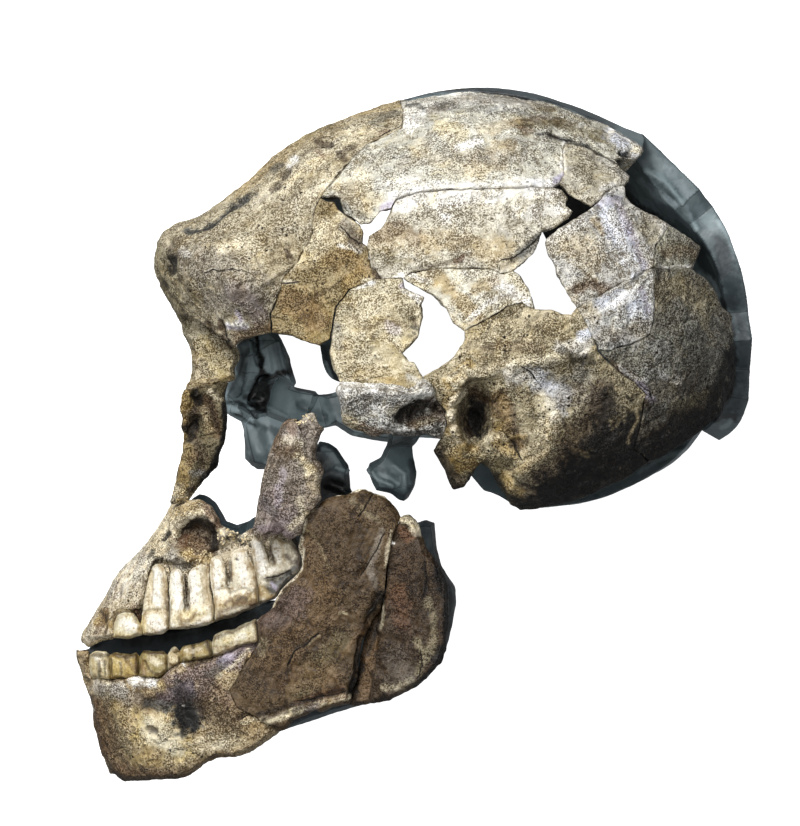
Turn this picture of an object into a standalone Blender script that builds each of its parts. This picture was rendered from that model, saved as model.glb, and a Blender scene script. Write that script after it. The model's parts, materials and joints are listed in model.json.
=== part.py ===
"""Fossil hominin skull, rebuilt from its fragments and lying on its right side.

The left half is real bone in glued fragments. The right half is a smooth grey mirror copy with the
same gaps. Outlines are given as pixels of the side view, u to the right and v down, and depths in
millimetres from the skull's median plane, positive towards the left side of the skull.
"""

import math

import bmesh
import bpy
import numpy as np
from mathutils import Euler, Matrix, Vector
from mathutils.geometry import delaunay_2d_cdt

# Driving dimensions, in millimetres unless the name says otherwise
BRAINCASE_LENGTH = 165.0
BRAINCASE_LENGTH_PIXELS = 600.0
MM_PER_PIXEL = BRAINCASE_LENGTH / BRAINCASE_LENGTH_PIXELS
PIXEL_CENTRE = (415.0, 430.0)

BRAINCASE_HALF_WIDTH = 57.0
BONE_THICKNESS = 6.2
JOINT_GAP = 0.34
UPPER_ARCADE_HALF_WIDTH = 31.0
LOWER_ARCADE_HALF_WIDTH = 25.0
JAW_FLARE_PER_PIXEL = 0.07
CORPUS_THICKNESS = 13.0
RAMUS_THICKNESS = 8.0
ROOT_THICKNESS = 3.6
CROWN_THICKNESS = 9.5
NASAL_HALF_WIDTH = 14.0
NASAL_SEPTUM_DEPTH = 7.0
ARCH_HALF_WIDTH = 59.0
ARCH_THICKNESS = 9.0
ARCH_FRONT_TURN = 9.0
RIGHT_HOLE_MARGIN = 1.6

# How the skull lies: turned about X, then about Y, from lying with its median plane level
LAY_TILT_X_DEG = -5.2
LAY_TILT_Y_DEG = -0.22

# Mesh spacing: in millimetres on the curved left and right sides, in pixels on the flat outlines
LEFT_SPACING = 5.7
RIGHT_SPACING = 9.8
LEFT_FLAT_SPACING = 20.0
RIGHT_FLAT_SPACING = 32.0
TOOTH_SPACING = 9.0

# How far in from its outline a flat piece is rounded, in pixels, and how thick its rim stays
FLAT_ROUNDING = 9.0
FLAT_RIM = 0.35
TOOTH_ROUNDING = 4.5
TOOTH_RIM = 0.35

# How near an outline runs to a seam, in pixels, where it meets its neighbour without rounding
SEAM_REACH = 2.0

# The middle of the side of the braincase, and its rim seen from the side, starting at the brow
VAULT_CENTRE = (495.0, 350.0)
VAULT_RIM = [
    (175, 313), (163, 291), (156, 277), (154.6, 260), (157, 242), (163, 233), (176, 225), (197, 218),
    (217, 204), (240, 188), (260, 170), (283, 150), (304, 136), (326, 126), (350, 117), (375, 108),
    (400, 100.5), (429, 92), (457, 86.5), (486, 86.5), (514, 89), (540, 93.6), (563, 101), (591, 112),
    (620, 125), (643, 134), (670, 161), (700, 189.5), (717, 210), (731, 239), (744, 279), (750, 324),
    (753, 345), (751, 384), (743, 430), (715, 478), (665, 520), (600, 545), (520, 550), (430, 540),
    (340, 510), (260, 460), (205, 400), (182, 350),
]
VAULT_ROUNDNESS = 2.6

# Shared cracks and free edges of the braincase, each from one meeting point to the next
EDGES = {
    "median": [
        (175, 313), (166, 297), (159, 286), (155.5, 272), (154.6, 260), (157, 242), (163, 233),
        (176, 225), (197, 218), (217, 204), (240, 188), (260, 170), (283, 150), (304, 136), (326, 126),
        (350, 117), (375, 108), (400, 100.5),
    ],
    "frontal_upper": [
        (400, 100.5), (404, 115), (402, 130), (385, 137), (367, 146), (352, 160), (343, 173),
        (336, 180), (329, 187), (325, 193), (321, 199),
    ],
    "frontal_side": [
        (321, 199), (316, 209), (313, 222), (313, 235), (309, 245), (304, 251), (299, 262), (291, 270),
        (284, 279), (280, 293), (277, 301), (271, 316), (272, 334),
    ],
    "frontal_orbit": [
        (272, 334), (254, 337), (243, 340), (234, 347), (222, 337), (203, 324), (190, 317), (175, 313),
    ],
    "upper_slot": [(321, 199), (339, 200), (345, 216)],
    "side_slot": [(321, 199), (327, 203), (335, 203), (338, 209), (345, 216)],
    "side_upper": [(345, 216), (354, 220.5), (361, 225.5)],
    "side_gap": [(361, 225.5), (364, 236), (363, 244), (367, 247)],
    "side_middle": [(367, 247), (368, 252), (369.5, 260), (371, 268.5), (377, 271), (382, 280.5)],
    "side_squama": [
        (382, 280.5), (374, 280.7), (360, 286.5), (350, 290), (342, 301), (335, 309), (334, 327),
        (331, 340),
    ],
    "side_lower": [(331, 340), (320, 346), (312, 344), (297, 338), (290, 335), (272, 334)],
    "upper_gap": [(361, 225.5), (370, 224), (377, 217), (381, 212), (391, 210)],
    "upper_middle": [
        (391, 210), (397, 200), (409, 196), (421, 193), (443, 191), (470, 190), (500, 190), (530, 189),
        (551, 190),
    ],
    "upper_notch": [(551, 190), (559, 185)],
    "upper_rear": [
        (559, 185), (563, 176), (562, 152), (564, 146), (571, 145), (590, 150), (599, 156), (613, 161),
    ],
    "upper_edge": [
        (613, 161), (623, 158), (631, 161), (637, 159), (642, 150), (631, 140), (610, 127), (590, 117),
        (570, 109), (550, 101), (529, 97), (500, 92), (471, 90), (440, 94), (400, 100.5),
    ],
    "middle_gap": [(391, 210), (386, 223), (382, 230), (370, 237), (367, 247)],
    "middle_slot": [
        (551, 190), (561, 192), (566, 199), (564, 207), (571, 212), (567, 219), (551, 230), (541, 233),
    ],
    "middle_rear": [(541, 233), (537, 246), (533, 255), (526, 261), (512, 272)],
    "slot_mouth": [(541, 233), (544, 244)],
    "middle_strip": [
        (512, 272), (500, 275), (491, 270.5), (471, 269.7), (443, 269.7), (429, 271), (410, 274),
        (403, 279),
    ],
    "middle_squama": [(382, 280.5), (391, 279.5), (403, 279)],
    "rear_slot": [(559, 185), (569, 196), (577, 201), (590.5, 208.6)],
    "rear_lower": [(590.5, 208.6), (600, 200.5), (606, 193.5), (613, 188.5), (622, 186.5)],
    "rear_edge": [(622, 186.5), (627, 182), (628, 177), (619, 170), (613, 161)],
    "back_slot": [(590.5, 208.6), (574, 221), (557, 231), (546, 240), (544, 244)],
    "back_gap": [(544, 244), (546, 254), (554, 266), (556, 276), (571, 300), (577, 308.5)],
    "back_split": [(577, 308.5), (590, 299), (599, 297), (607, 290), (629, 280), (641, 272), (651, 269)],
    "back_corner": [(651, 269), (653, 256), (656, 245), (667.5, 226.5)],
    "back_edge": [(667.5, 226.5), (654, 217), (640, 211), (629, 204), (624, 198), (622, 186.5)],
    "corner_edge": [(667.5, 226.5), (679, 234), (689, 241), (699, 249), (694, 259), (690, 270)],
    "corner_nape": [(690, 270), (676, 268), (662, 270), (651, 269)],
    "back_nape": [
        (651, 269), (652.5, 300), (652.5, 320), (648.5, 335.5), (630.5, 344.5), (606, 351.5), (597, 351),
    ],
    "back_ear": [(597, 351), (595.5, 344), (585.5, 327), (577, 308.5)],
    "strip_gap": [
        (403, 279), (408, 283), (419, 289), (433, 297), (446, 310), (453, 323), (464, 332),
    ],
    "strip_rear": [(512, 272), (519, 276), (528, 290), (531, 298), (533.5, 310.3)],
    "strip_ear": [
        (533.5, 310.3), (521, 303.5), (507, 307.5), (490, 318), (471, 328), (464, 332),
    ],
    "ear_gap": [(533.5, 310.3), (551, 311), (561, 316), (570, 316), (577, 308.5)],
    "squama_gap": [
        (403, 279), (404, 289), (414, 294), (424, 298), (421, 305), (423, 317), (419, 337), (410, 346),
        (401.5, 354), (409, 363), (414, 364), (423, 378),
    ],
    "squama_arch": [(423, 378), (415, 389), (409, 390.5), (386, 386), (357, 384.3), (341, 383.5)],
    "squama_front": [(341, 383.5), (335, 371), (329, 353), (331, 340)],
    "ear_front": [(464, 332), (463.6, 341), (454, 356), (439, 369), (423, 378)],
    "ear_arch": [(423, 378), (430, 384), (436, 390), (436, 398), (445, 410.5), (447, 425), (441, 439.5)],
    "ear_base": [
        (441, 439.5), (434, 450), (441, 463), (446, 471), (449, 481), (453, 488), (463, 486),
        (469, 479), (476, 466), (481, 463), (489, 468), (499, 484), (511, 504), (520, 509), (541, 508),
        (563, 503), (583, 496), (604, 486), (624, 478), (640, 467), (647, 462.5),
    ],
    "ear_nape": [
        (647, 462.5), (641.5, 454.5), (632.5, 449.5), (638.5, 428), (642.5, 403), (645.5, 395),
        (632.5, 382.5), (615.5, 370.5), (597, 351),
    ],
    "nape_base": [
        (647, 462.5), (666, 453), (683, 442), (697, 433), (709, 423), (721, 410), (731, 393), (735, 379),
    ],
    "nape_edge": [
        (735, 379), (733, 350), (731, 331), (731, 316), (720, 307), (716, 295), (704, 280), (690, 270),
    ],
    "arch_base": [
        (441, 439.5), (429, 435), (419, 436), (402, 436), (387, 433), (373, 436), (352, 428), (343, 422),
        (341, 405), (337, 390), (341, 383.5),
    ],
}

# The fragments on the left side of the braincase, each by the edges round it
VAULT_FRAGMENTS = {
    "frontal_bone": "median frontal_upper frontal_side frontal_orbit",
    "sphenoid_plate": (
        "side_slot side_upper side_gap side_middle side_squama side_lower frontal_side"
    ),
    "parietal_upper": (
        "frontal_upper upper_slot side_upper upper_gap upper_middle upper_notch upper_rear upper_edge"
    ),
    "parietal_middle": (
        "middle_gap side_middle middle_squama middle_strip middle_rear middle_slot upper_middle"
    ),
    "parietal_strip": "middle_strip strip_rear strip_ear strip_gap",
    "parietal_rear_wedge": "upper_rear rear_slot rear_lower rear_edge",
    "parietal_back": "rear_lower back_slot back_gap back_split back_corner back_edge",
    "parietal_back_lower": "back_split back_nape back_ear",
    "parietal_corner": "back_corner corner_edge corner_nape",
    "temporal_squama": "side_squama middle_squama squama_gap squama_arch squama_front",
    "temporal_bone": "strip_ear ear_gap back_ear ear_nape ear_base ear_arch ear_front",
    "occipital_bone": "corner_nape back_nape ear_nape nape_base nape_edge",
}

# The ear opening in the temporal bone: its centre and radii in the side view
EAR_CENTRE = (474.0, 413.0)
EAR_RADII = (15.0, 28.0)
EAR_DEPTH = 11.0
EAR_RINGS = (0.55, 1.0, 1.3)
EAR_RING_POINTS = 14

BONE_COLOURS = {
    "frontal_bone": (0.46, 0.39, 0.27),
    "sphenoid_plate": (0.45, 0.35, 0.19),
    "parietal_upper": (0.60, 0.53, 0.39),
    "parietal_middle": (0.53, 0.46, 0.32),
    "parietal_strip": (0.55, 0.47, 0.31),
    "parietal_rear_wedge": (0.50, 0.44, 0.32),
    "parietal_back": (0.47, 0.43, 0.35),
    "parietal_back_lower": (0.46, 0.42, 0.34),
    "parietal_corner": (0.27, 0.24, 0.16),
    "temporal_squama": (0.55, 0.47, 0.32),
    "temporal_bone": (0.34, 0.27, 0.16),
    "occipital_bone": (0.26, 0.23, 0.17),
    "zygomatic_process": (0.50, 0.49, 0.46),
    "nasal_process": (0.33, 0.26, 0.14),
    "maxilla": (0.52, 0.46, 0.34),
    "mandible_body": (0.33, 0.27, 0.18),
    "ramus_plate": (0.19, 0.14, 0.09),
    "ramus_rear_piece": (0.16, 0.12, 0.07),
    "coronoid_piece": (0.30, 0.25, 0.20),
}
TOOTH_COLOUR = (0.72, 0.66, 0.50)
GREY_COLOUR = (0.065, 0.085, 0.09)

# Colours and materials


def material(name, colour, roughness):
    """A plain Principled material, made once for each name."""
    found = bpy.data.materials.get(name)
    if found:
        return found
    made = bpy.data.materials.new(name)
    made.use_nodes = True
    shader = made.node_tree.nodes["Principled BSDF"]
    shader.inputs["Base Color"].default_value = (*colour, 1.0)
    shader.inputs["Roughness"].default_value = roughness
    shader.inputs["Metallic"].default_value = 0.0
    made.diffuse_color = (*colour, 1.0)
    return made


# Points of the side view


def flat_mm(points):
    """Pixels of the side view as millimetres, X to the right and Y up."""
    points = np.asarray(points, float)
    return (points - PIXEL_CENTRE) * (MM_PER_PIXEL, -MM_PER_PIXEL)


def near_line(u, v, line, width):
    """1 on a line of pixels, falling smoothly to 0 away from it."""
    points = np.column_stack([np.ravel(u), np.ravel(v)])
    nearest = distance_to_path(points, np.array(line, float), False)
    return np.exp(-((nearest.reshape(np.shape(u)) / width) ** 2))


def spot(u, v, centre, radii):
    """1 at the centre of a soft oval spot, falling to 0 outside it."""
    return np.exp(-(((u - centre[0]) / radii[0]) ** 2 + ((v - centre[1]) / radii[1]) ** 2))


def distance_to_path(points, path, closed=True):
    """The distance of each point from a path."""
    ends = np.roll(path, -1, axis=0) if closed else path[1:]
    starts = path if closed else path[:-1]
    return distance_to_steps(points, starts, ends)


def distance_to_free_edge(points, loop, seams):
    """The distance of each point from a closed outline, leaving out its stretches along seams."""
    ends = np.roll(loop, -1, axis=0)
    free = np.ones(len(loop), bool)
    for seam in seams:
        free &= distance_to_path((loop + ends) / 2, np.array(seam, float), False) > SEAM_REACH
    return distance_to_steps(points, loop[free], ends[free])


def distance_to_steps(points, starts, ends):
    """The distance of each point from the nearest of some straight steps."""
    along = ends - starts
    lengths = np.maximum((along**2).sum(axis=1), 1e-12)
    share = ((points[:, None] - starts) * along).sum(axis=2) / lengths
    nearest = starts + np.clip(share, 0, 1)[..., None] * along
    return np.sqrt(((points[:, None] - nearest) ** 2).sum(axis=2)).min(axis=1)


def inside(points, loop):
    """Whether each point lies inside a closed loop."""
    x, y = points[:, :1], points[:, 1:]
    after = np.roll(loop, -1, axis=0)
    crosses = (loop[:, 1] > y) != (after[:, 1] > y)
    rise = np.where(after[:, 1] == loop[:, 1], 1e-12, after[:, 1] - loop[:, 1])
    meets = (after[:, 0] - loop[:, 0]) * (y - loop[:, 1]) / rise + loop[:, 0]
    return (crosses & (x < meets)).sum(axis=1) % 2 == 1


def area(loop):
    after = np.roll(loop, -1, axis=0)
    return 0.5 * (loop[:, 0] * after[:, 1] - after[:, 0] * loop[:, 1]).sum()


def inset(loop, distance):
    """A closed loop moved inwards by a distance, or outwards by a negative one."""
    before = loop - np.roll(loop, 1, axis=0)
    after = np.roll(loop, -1, axis=0) - loop
    normals = []
    for edge in (before, after):
        length = np.maximum(np.linalg.norm(edge, axis=1, keepdims=True), 1e-9)
        normals.append(np.column_stack([-edge[:, 1], edge[:, 0]]) / length)
    middle = normals[0] + normals[1]
    reach = np.maximum((middle * normals[0]).sum(axis=1, keepdims=True), 0.5)
    return loop + math.copysign(distance, area(loop) * distance) * middle / reach


def divided(loop, spacing):
    """A closed loop with its long stretches cut into steps of about the spacing."""
    made = []
    for start, end in zip(loop, np.roll(loop, -1, axis=0)):
        steps = max(1, round(float(np.linalg.norm(end - start)) / spacing))
        made.extend(start + (end - start) * k / steps for k in range(steps))
    return np.array(made)


def thinned(points, spacing):
    """Every point of a loop that is at least the spacing away from the last one kept."""
    kept = [points[0]]
    for point in points[1:]:
        if np.linalg.norm(point - kept[-1]) >= spacing:
            kept.append(point)
    return np.array(kept)


def loop_of(names):
    """One closed loop of pixels from the named edges, turned round where they need it."""
    parts = [list(EDGES[name]) for name in names.split()]
    loop = parts.pop(0)
    if not any(loop[-1] in (part[0], part[-1]) for part in parts):
        loop.reverse()
    while parts:
        part = next(part for part in parts if loop[-1] in (part[0], part[-1]))
        parts.remove(part)
        loop += (part if part[0] == loop[-1] else part[::-1])[1:]
    return np.array(loop[:-1], float)


# The surface of the braincase


def rim_radius(angle):
    """The rim's distance from the vault centre, in pixels, in a direction of the side view."""
    rim = np.array(VAULT_RIM) - VAULT_CENTRE
    angles = np.arctan2(-rim[:, 1], rim[:, 0])
    order = np.argsort(angles)
    return np.interp(angle, angles[order], np.hypot(*rim.T)[order], period=2 * math.pi)


def vault_map(points):
    """Pixels of the side view on an even map of the vault: 0 at its middle, 1 at its rim."""
    offset = np.asarray(points, float) - VAULT_CENTRE
    angle = np.arctan2(-offset[:, 1], offset[:, 0])
    share = np.clip(np.hypot(*offset.T) / rim_radius(angle), 0, 1)
    reach = np.arcsin(share) / (math.pi / 2)
    return np.column_stack([reach * np.cos(angle), reach * np.sin(angle)])


def broad_relief(u, v):
    """Millimetres that the brow and the narrow waist behind it stand out or in from an oval dome."""
    brow = 6.5 * spot(u, v, (232, 296), (26, 34))
    waist = -8.5 * spot(u, v, (302, 292), (40, 62))
    return brow + waist


def fine_relief(u, v):
    """Millimetres of ridges and lumps on the outside alone."""
    brow = 2.0 * near_line(u, v, [(165, 250), (215, 262), (248, 300)], 16)
    crest = 2.2 * near_line(u, v, [(452, 384), (500, 368), (560, 359), (604, 356)], 7)
    line = 1.2 * near_line(
        u, v, [(240, 212), (330, 205), (430, 190), (550, 188), (630, 210), (655, 280)], 6
    )
    mastoid = 4.0 * spot(u, v, (528, 478), (30, 26)) + 2.5 * spot(u, v, (458, 462), (13, 20))
    groove = -3.5 * near_line(u, v, [(497, 432), (508, 462), (500, 478)], 8)
    arch_root = 2.5 * spot(u, v, (444, 386), (14, 10))
    nape = 2.0 * near_line(u, v, [(655, 360), (700, 350), (731, 345)], 12)
    reach = np.hypot((u - EAR_CENTRE[0]) / EAR_RADII[0], (v - EAR_CENTRE[1]) / EAR_RADII[1])
    ear = -EAR_DEPTH * np.clip(1.2 - reach, 0, 1) ** 0.6
    ear_rim = 1.8 * near_line(u, v, [(463, 388), (451, 404), (452, 430)], 6)
    return brow + crest + line + mastoid + groove + arch_root + nape + ear + ear_rim


def vault_point(flat, side=1, fine=True):
    """The outer surface of the braincase, in millimetres, at points of its even map.

    Past 1 on the map the surface runs on over the median line on to the other side.
    """
    reach = np.hypot(*flat.T)
    angle = np.arctan2(flat[:, 1], flat[:, 0])
    turn = reach * math.pi / 2
    share = np.sin(turn) * rim_radius(angle)
    u = VAULT_CENTRE[0] + share * np.cos(angle)
    v = VAULT_CENTRE[1] - share * np.sin(angle)
    rise = np.sqrt(np.maximum(1 - np.abs(np.sin(turn)) ** VAULT_ROUNDNESS, 0)) * np.sign(np.cos(turn))
    relief = broad_relief(u, v) + (fine_relief(u, v) if fine else 0)
    depth = BRAINCASE_HALF_WIDTH * rise + relief * np.clip(rise * 1.6, -1, 1)
    return np.column_stack([flat_mm(np.column_stack([u, v])), side * depth]), u, v


def vault_normal(flat, side):
    """Unit normals of the plain braincase, outwards, at points of its even map."""
    step = 0.01
    slopes = []
    for shift in ((step, 0), (0, step)):
        ahead, behind = (vault_point(flat + way * np.array(shift), side, False)[0] for way in (1, -1))
        slopes.append(ahead - behind)
    normal = np.cross(*slopes) * side
    return normal / np.linalg.norm(normal, axis=1, keepdims=True)


def wall_direction(normal, side):
    """Straight through the skull where its side is fairly flat, and square to the bone near its rim."""
    share = np.clip((side * normal[:, 2:] - 0.3) / 0.35, 0, 1)
    share = share * share * (3 - 2 * share)
    mixed = share * (0, 0, side) + (1 - share) * normal
    return mixed / np.linalg.norm(mixed, axis=1, keepdims=True)


def bone_thickness(u, v):
    """Thin on the side, thick at the upper back, round the ear and in the mastoid."""
    back = 3.2 * spot(u, v, (690, 190), (55, 45))
    ear = 9.0 * spot(u, v, (474, 420), (45, 45))
    brow = 5.0 * spot(u, v, (180, 255), (34, 30))
    mastoid = 5.0 * spot(u, v, (535, 480), (45, 30))
    return BONE_THICKNESS + back + ear + brow + mastoid


# Closed bodies from a flat net


def net(loops, spacing, clear, ring=()):
    """A triangle net inside the first loop and outside the others.

    It takes the points of the loops, those given as a ring, and an even grid of its own that stays
    clear of the loops by a distance and of the ring by half its spacing.
    """
    outer, *holes = loops
    low, high = outer.min(axis=0), outer.max(axis=0)
    rows = np.arange(low[1], high[1], spacing * math.sqrt(0.75))
    grid = [
        (x + (spacing / 2 if k % 2 else 0), y)
        for k, y in enumerate(rows)
        for x in np.arange(low[0], high[0], spacing)
    ]
    grid = np.array(grid)
    keep = inside(grid, outer)
    for loop in loops:
        keep &= distance_to_path(grid, loop) > clear
    for hole in holes:
        keep &= ~inside(grid, hole)
    if len(ring):
        keep &= np.sqrt(((grid[:, None] - ring) ** 2).sum(axis=2)).min(axis=1) > 0.5 * spacing
    points, edges = [], []
    for loop in loops:
        first = len(points)
        points.extend(loop)
        edges.extend((first + k, first + (k + 1) % len(loop)) for k in range(len(loop)))
    points = [Vector(point) for point in (*points, *ring, *grid[keep])]
    found = delaunay_2d_cdt(points, edges, [], 0, 1e-6)
    flat = np.array([tuple(point) for point in found[0]])
    triangles = np.array(found[2])
    centres = flat[triangles].mean(axis=1)
    kept = inside(centres, outer)
    for hole in holes:
        kept &= ~inside(centres, hole)
    triangles = triangles[kept]
    corners = flat[triangles]
    first, second = corners[:, 1] - corners[:, 0], corners[:, 2] - corners[:, 0]
    doubled = first[:, 0] * second[:, 1] - first[:, 1] * second[:, 0]
    triangles[doubled < 0] = triangles[doubled < 0][:, ::-1]
    used, index = np.unique(triangles, return_inverse=True)
    return flat[used], index.reshape(-1, 3)


def closed_body(name, triangles, outer, inner, colour):
    """A body between an outer and an inner sheet with the same net, closed round its edge."""
    count = len(outer)
    ends = np.concatenate([triangles[:, [0, 1]], triangles[:, [1, 2]], triangles[:, [2, 0]]])
    edges = {tuple(edge) for edge in ends}
    rim = [(a, b) for a, b in edges if (b, a) not in edges]
    faces = [tuple(face) for face in triangles]
    faces += [tuple(face[::-1] + count) for face in triangles]
    faces += [(b, a, a + count, b + count) for a, b in rim]
    mesh = bpy.data.meshes.new(name)
    points = np.vstack([outer, inner]) / 1000
    mesh.from_pydata(points.tolist(), [], [tuple(map(int, face)) for face in faces])
    shape = bmesh.new()
    shape.from_mesh(mesh)
    bmesh.ops.triangulate(shape, faces=shape.faces[:])
    bmesh.ops.recalc_face_normals(shape, faces=shape.faces[:])
    shape.to_mesh(mesh)
    shape.free()
    mesh.materials.append(material(f"{name}_finish", colour, 0.75))
    return mesh


def placed(name, mesh):
    piece = bpy.data.objects.new(name, mesh)
    skull.objects.link(piece)
    piece.parent = lay
    return piece


def ear_rings():
    """Ovals of points round the ear opening, on the even map."""
    turns = np.arange(EAR_RING_POINTS) * 2 * math.pi / EAR_RING_POINTS
    oval = np.column_stack([np.cos(turns), np.sin(turns)]) * EAR_RADII
    rings = [EAR_CENTRE + share * oval for share in EAR_RINGS]
    return vault_map(np.vstack([[EAR_CENTRE], *rings]))


def vault_mesh(name, loops, side, spacing, colour, ring=()):
    """A curved shell between the outlines given on the even map of the braincase."""
    scale = BRAINCASE_HALF_WIDTH * math.pi / 2
    loops = [divided(loop, spacing / scale) for loop in loops]
    flat, triangles = net(loops, spacing / scale, 0.6 * spacing / scale, ring)
    outer, u, v = vault_point(flat, side)
    inner = vault_point(flat, side, False)[0]
    normal = vault_normal(flat, side)
    direction = wall_direction(normal, side)
    through = bone_thickness(u, v) / (normal * direction).sum(axis=1)
    inner -= direction * through[:, None]
    return closed_body(name, triangles, outer, inner, colour)


def slab_mesh(
    name, outline, lateral, medial, colour,
    spacing=LEFT_FLAT_SPACING, rounding=FLAT_ROUNDING, rim=FLAT_RIM, side=1, creases=(), seams=(),
):
    """A piece with its own outline and two faces, whose depths are functions of the pixel.

    Creases are points of the side view that its net takes in, where a face has a step. Seams are
    lines along which it meets a neighbour and isn't rounded.
    """
    loop = divided(inset(np.array(outline, float), JOINT_GAP / 2 / MM_PER_PIXEL), spacing)
    ring = np.vstack([thinned(inset(loop, rounding * 0.45), spacing * 0.35), *creases])
    ring = ring[inside(ring, loop) & (distance_to_path(ring, loop) > rounding * 0.4)]
    flat, triangles = net([loop], spacing, rounding * 0.45 + spacing * 0.6, ring)
    edge = distance_to_free_edge(flat, loop, seams)
    u, v = flat.T
    swell = rim + (1 - rim) * np.sqrt(1 - (1 - np.clip(edge / rounding, 0, 1)) ** 2)
    outer, inner = lateral(u, v), medial(u, v)
    middle, half = (outer + inner) / 2, (outer - inner) / 2
    outer = np.column_stack([flat_mm(flat), side * (middle + half * swell)])
    inner = np.column_stack([flat_mm(flat), side * (middle - half * swell)])
    return closed_body(name, triangles, outer, inner, colour)


# The face and jaws

NASAL_PROFILE = [(297, 166), (313, 175), (323, 182), (334, 184), (351, 191), (369, 192.3), (389, 188)]
UPPER_PROFILE = [
    (495, 174), (505, 170), (520, 162), (535, 153), (554, 136), (571, 118), (587, 110), (602, 101),
    (619, 91), (635, 82), (646, 84),
]
LOWER_PROFILE = [
    (650, 75.5), (660, 77), (677, 82), (694, 88), (708, 92), (725, 94), (741, 99), (753, 102),
    (769, 109), (781, 118),
]
UPPER_NECK = [(115, 614), (143, 612), (170, 609), (213, 600), (250, 588), (262, 575), (300, 566)]
SOCKETS = [
    (138.5, 620), (141, 606), (144, 590), (148, 570), (153, 560), (163, 558), (172, 560.5),
    (186, 560.5), (191, 558), (205, 553), (213, 548), (224, 542), (238, 537), (249, 529), (262, 525),
    (310, 520), (330, 560), (330, 650), (138.5, 650),
]
SOCKET_DEPTH = 3.4
SOCKET_STEP = 3.5
REAR_STEP = [(604, 384.5), (620, 383), (634, 381.5), (651, 378), (676, 374.5), (700, 373)]
REAR_STEP_WIDTH = 2.0
GROOVE_DEPTH = 2.4
SINUS_CENTRE = (197.0, 539.0)
SINUS_RADII = (23.0, 18.0)
SINUS_DEPTH = 9.0
MEDIAN_GAP = JOINT_GAP / 2
LEAST_DEPTH = 1.3


def read_line(at, line):
    return np.interp(at, *np.array(line, float).T)


def arch(u, front, back, half_width, power):
    """Half the width of a jaw or nose, rising from 0 at its profile to its full width further back."""
    share = np.clip((back - u) / (back - front), 0, 1)
    return np.maximum(half_width * np.sqrt(1 - share**power), LEAST_DEPTH)


def nasal_depth(u, v):
    return arch(u, read_line(v, NASAL_PROFILE), 238, NASAL_HALF_WIDTH, 2)


def nose_inside(u, v):
    return np.full(np.shape(u), MEDIAN_GAP)


def upper_depth(u, v):
    return arch(u, read_line(v, UPPER_PROFILE), 290, UPPER_ARCADE_HALF_WIDTH, 2.5)


def lower_depth(u, v):
    return arch(u, read_line(v, LOWER_PROFILE), 215, LOWER_ARCADE_HALF_WIDTH, 2.4) + (
        JAW_FLARE_PER_PIXEL * np.maximum(u - 140, 0)
    )


def set_in(depth, thickness):
    """The inner face of a wall, which never passes the median plane."""
    return np.maximum(depth - thickness, MEDIAN_GAP)


def socket_band(u, v):
    """1 where the outer wall over the tooth roots is missing."""
    points = np.column_stack([np.ravel(u), np.ravel(v)])
    loop = np.array(SOCKETS, float)
    share = np.clip(distance_to_path(points, loop) / SOCKET_STEP, 0, 1) * inside(points, loop)
    return share.reshape(np.shape(u))


def maxilla_creases():
    """Points along both sides of the step down to the roots, and round the open sinus."""
    loop = np.array(SOCKETS, float)
    steps = [divided(inset(loop, way * SOCKET_STEP), 10.0) for way in (0.01, 1)]
    turns = np.arange(14) * 2 * math.pi / 14
    oval = np.column_stack([np.cos(turns), np.sin(turns)]) * SINUS_RADII
    return [*steps, SINUS_CENTRE + 0.6 * oval, SINUS_CENTRE + 1.2 * oval]


def maxilla_outside(u, v):
    reach = np.hypot((u - SINUS_CENTRE[0]) / SINUS_RADII[0], (v - SINUS_CENTRE[1]) / SINUS_RADII[1])
    sinus = SINUS_DEPTH * np.clip(1.2 - reach, 0, 1) ** 0.6
    return np.maximum(upper_depth(u, v) - sinus - SOCKET_DEPTH * socket_band(u, v), LEAST_DEPTH)


def maxilla_inside(u, v):
    palate = (v > 562) & (v < 592) & (u > 100)
    return np.where(palate, MEDIAN_GAP, set_in(upper_depth(u, v), 12.0))


def crown_share(u, v):
    return np.clip((v - read_line(u, UPPER_NECK)) / 4, 0, 1)


def upper_tooth_outside(u, v):
    return upper_depth(u, v) + 0.3 + 0.9 * crown_share(u, v)


def upper_tooth_inside(u, v):
    crown = crown_share(u, v)
    return set_in(upper_depth(u, v), ROOT_THICKNESS - 1.2) * (1 - crown) + crown * set_in(
        upper_depth(u, v), CROWN_THICKNESS
    )


def lower_tooth_outside(u, v):
    return lower_depth(u, v) - 0.6


def lower_tooth_inside(u, v):
    return set_in(lower_depth(u, v), CROWN_THICKNESS)


def corpus_outside(u, v):
    swelling = 2.0 * spot(u, v, (185, 715), (70, 40))
    foramen = -2.5 * spot(u, v, (154, 730), (6, 6))
    return lower_depth(u, v) + swelling + foramen


def corpus_inside(u, v):
    return set_in(lower_depth(u, v), CORPUS_THICKNESS)


def ramus_outside(u, v):
    return lower_depth(u, v) + 1.5 + 1.2 * near_line(u, v, [(300, 640), (345, 560), (360, 500)], 30)


def ramus_inside(u, v):
    return lower_depth(u, v) + 1.5 - RAMUS_THICKNESS


def rear_outside(u, v):
    """Lower in the groove between its front edge and the ramus plate."""
    groove = np.clip((read_line(v, REAR_STEP) - u) / REAR_STEP_WIDTH, 0, 1)
    return lower_depth(u, v) + 0.2 + 1.8 * spot(u, v, (420, 620), (25, 70)) - GROOVE_DEPTH * groove


def rear_creases():
    """Points along both sides of the step down into the groove."""
    line = np.array([(u, v) for v, u in REAR_STEP[1:]], float)
    return [line - (shift, 0) for shift in (0, REAR_STEP_WIDTH)]


def rear_inside(u, v):
    return lower_depth(u, v) - RAMUS_THICKNESS


def coronoid_outside(u, v):
    return lower_depth(u, v) + 3.6 + 1.0 * near_line(u, v, [(300, 420), (285, 480), (270, 535)], 12)


def coronoid_inside(u, v):
    return lower_depth(u, v) - 2.2


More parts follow.
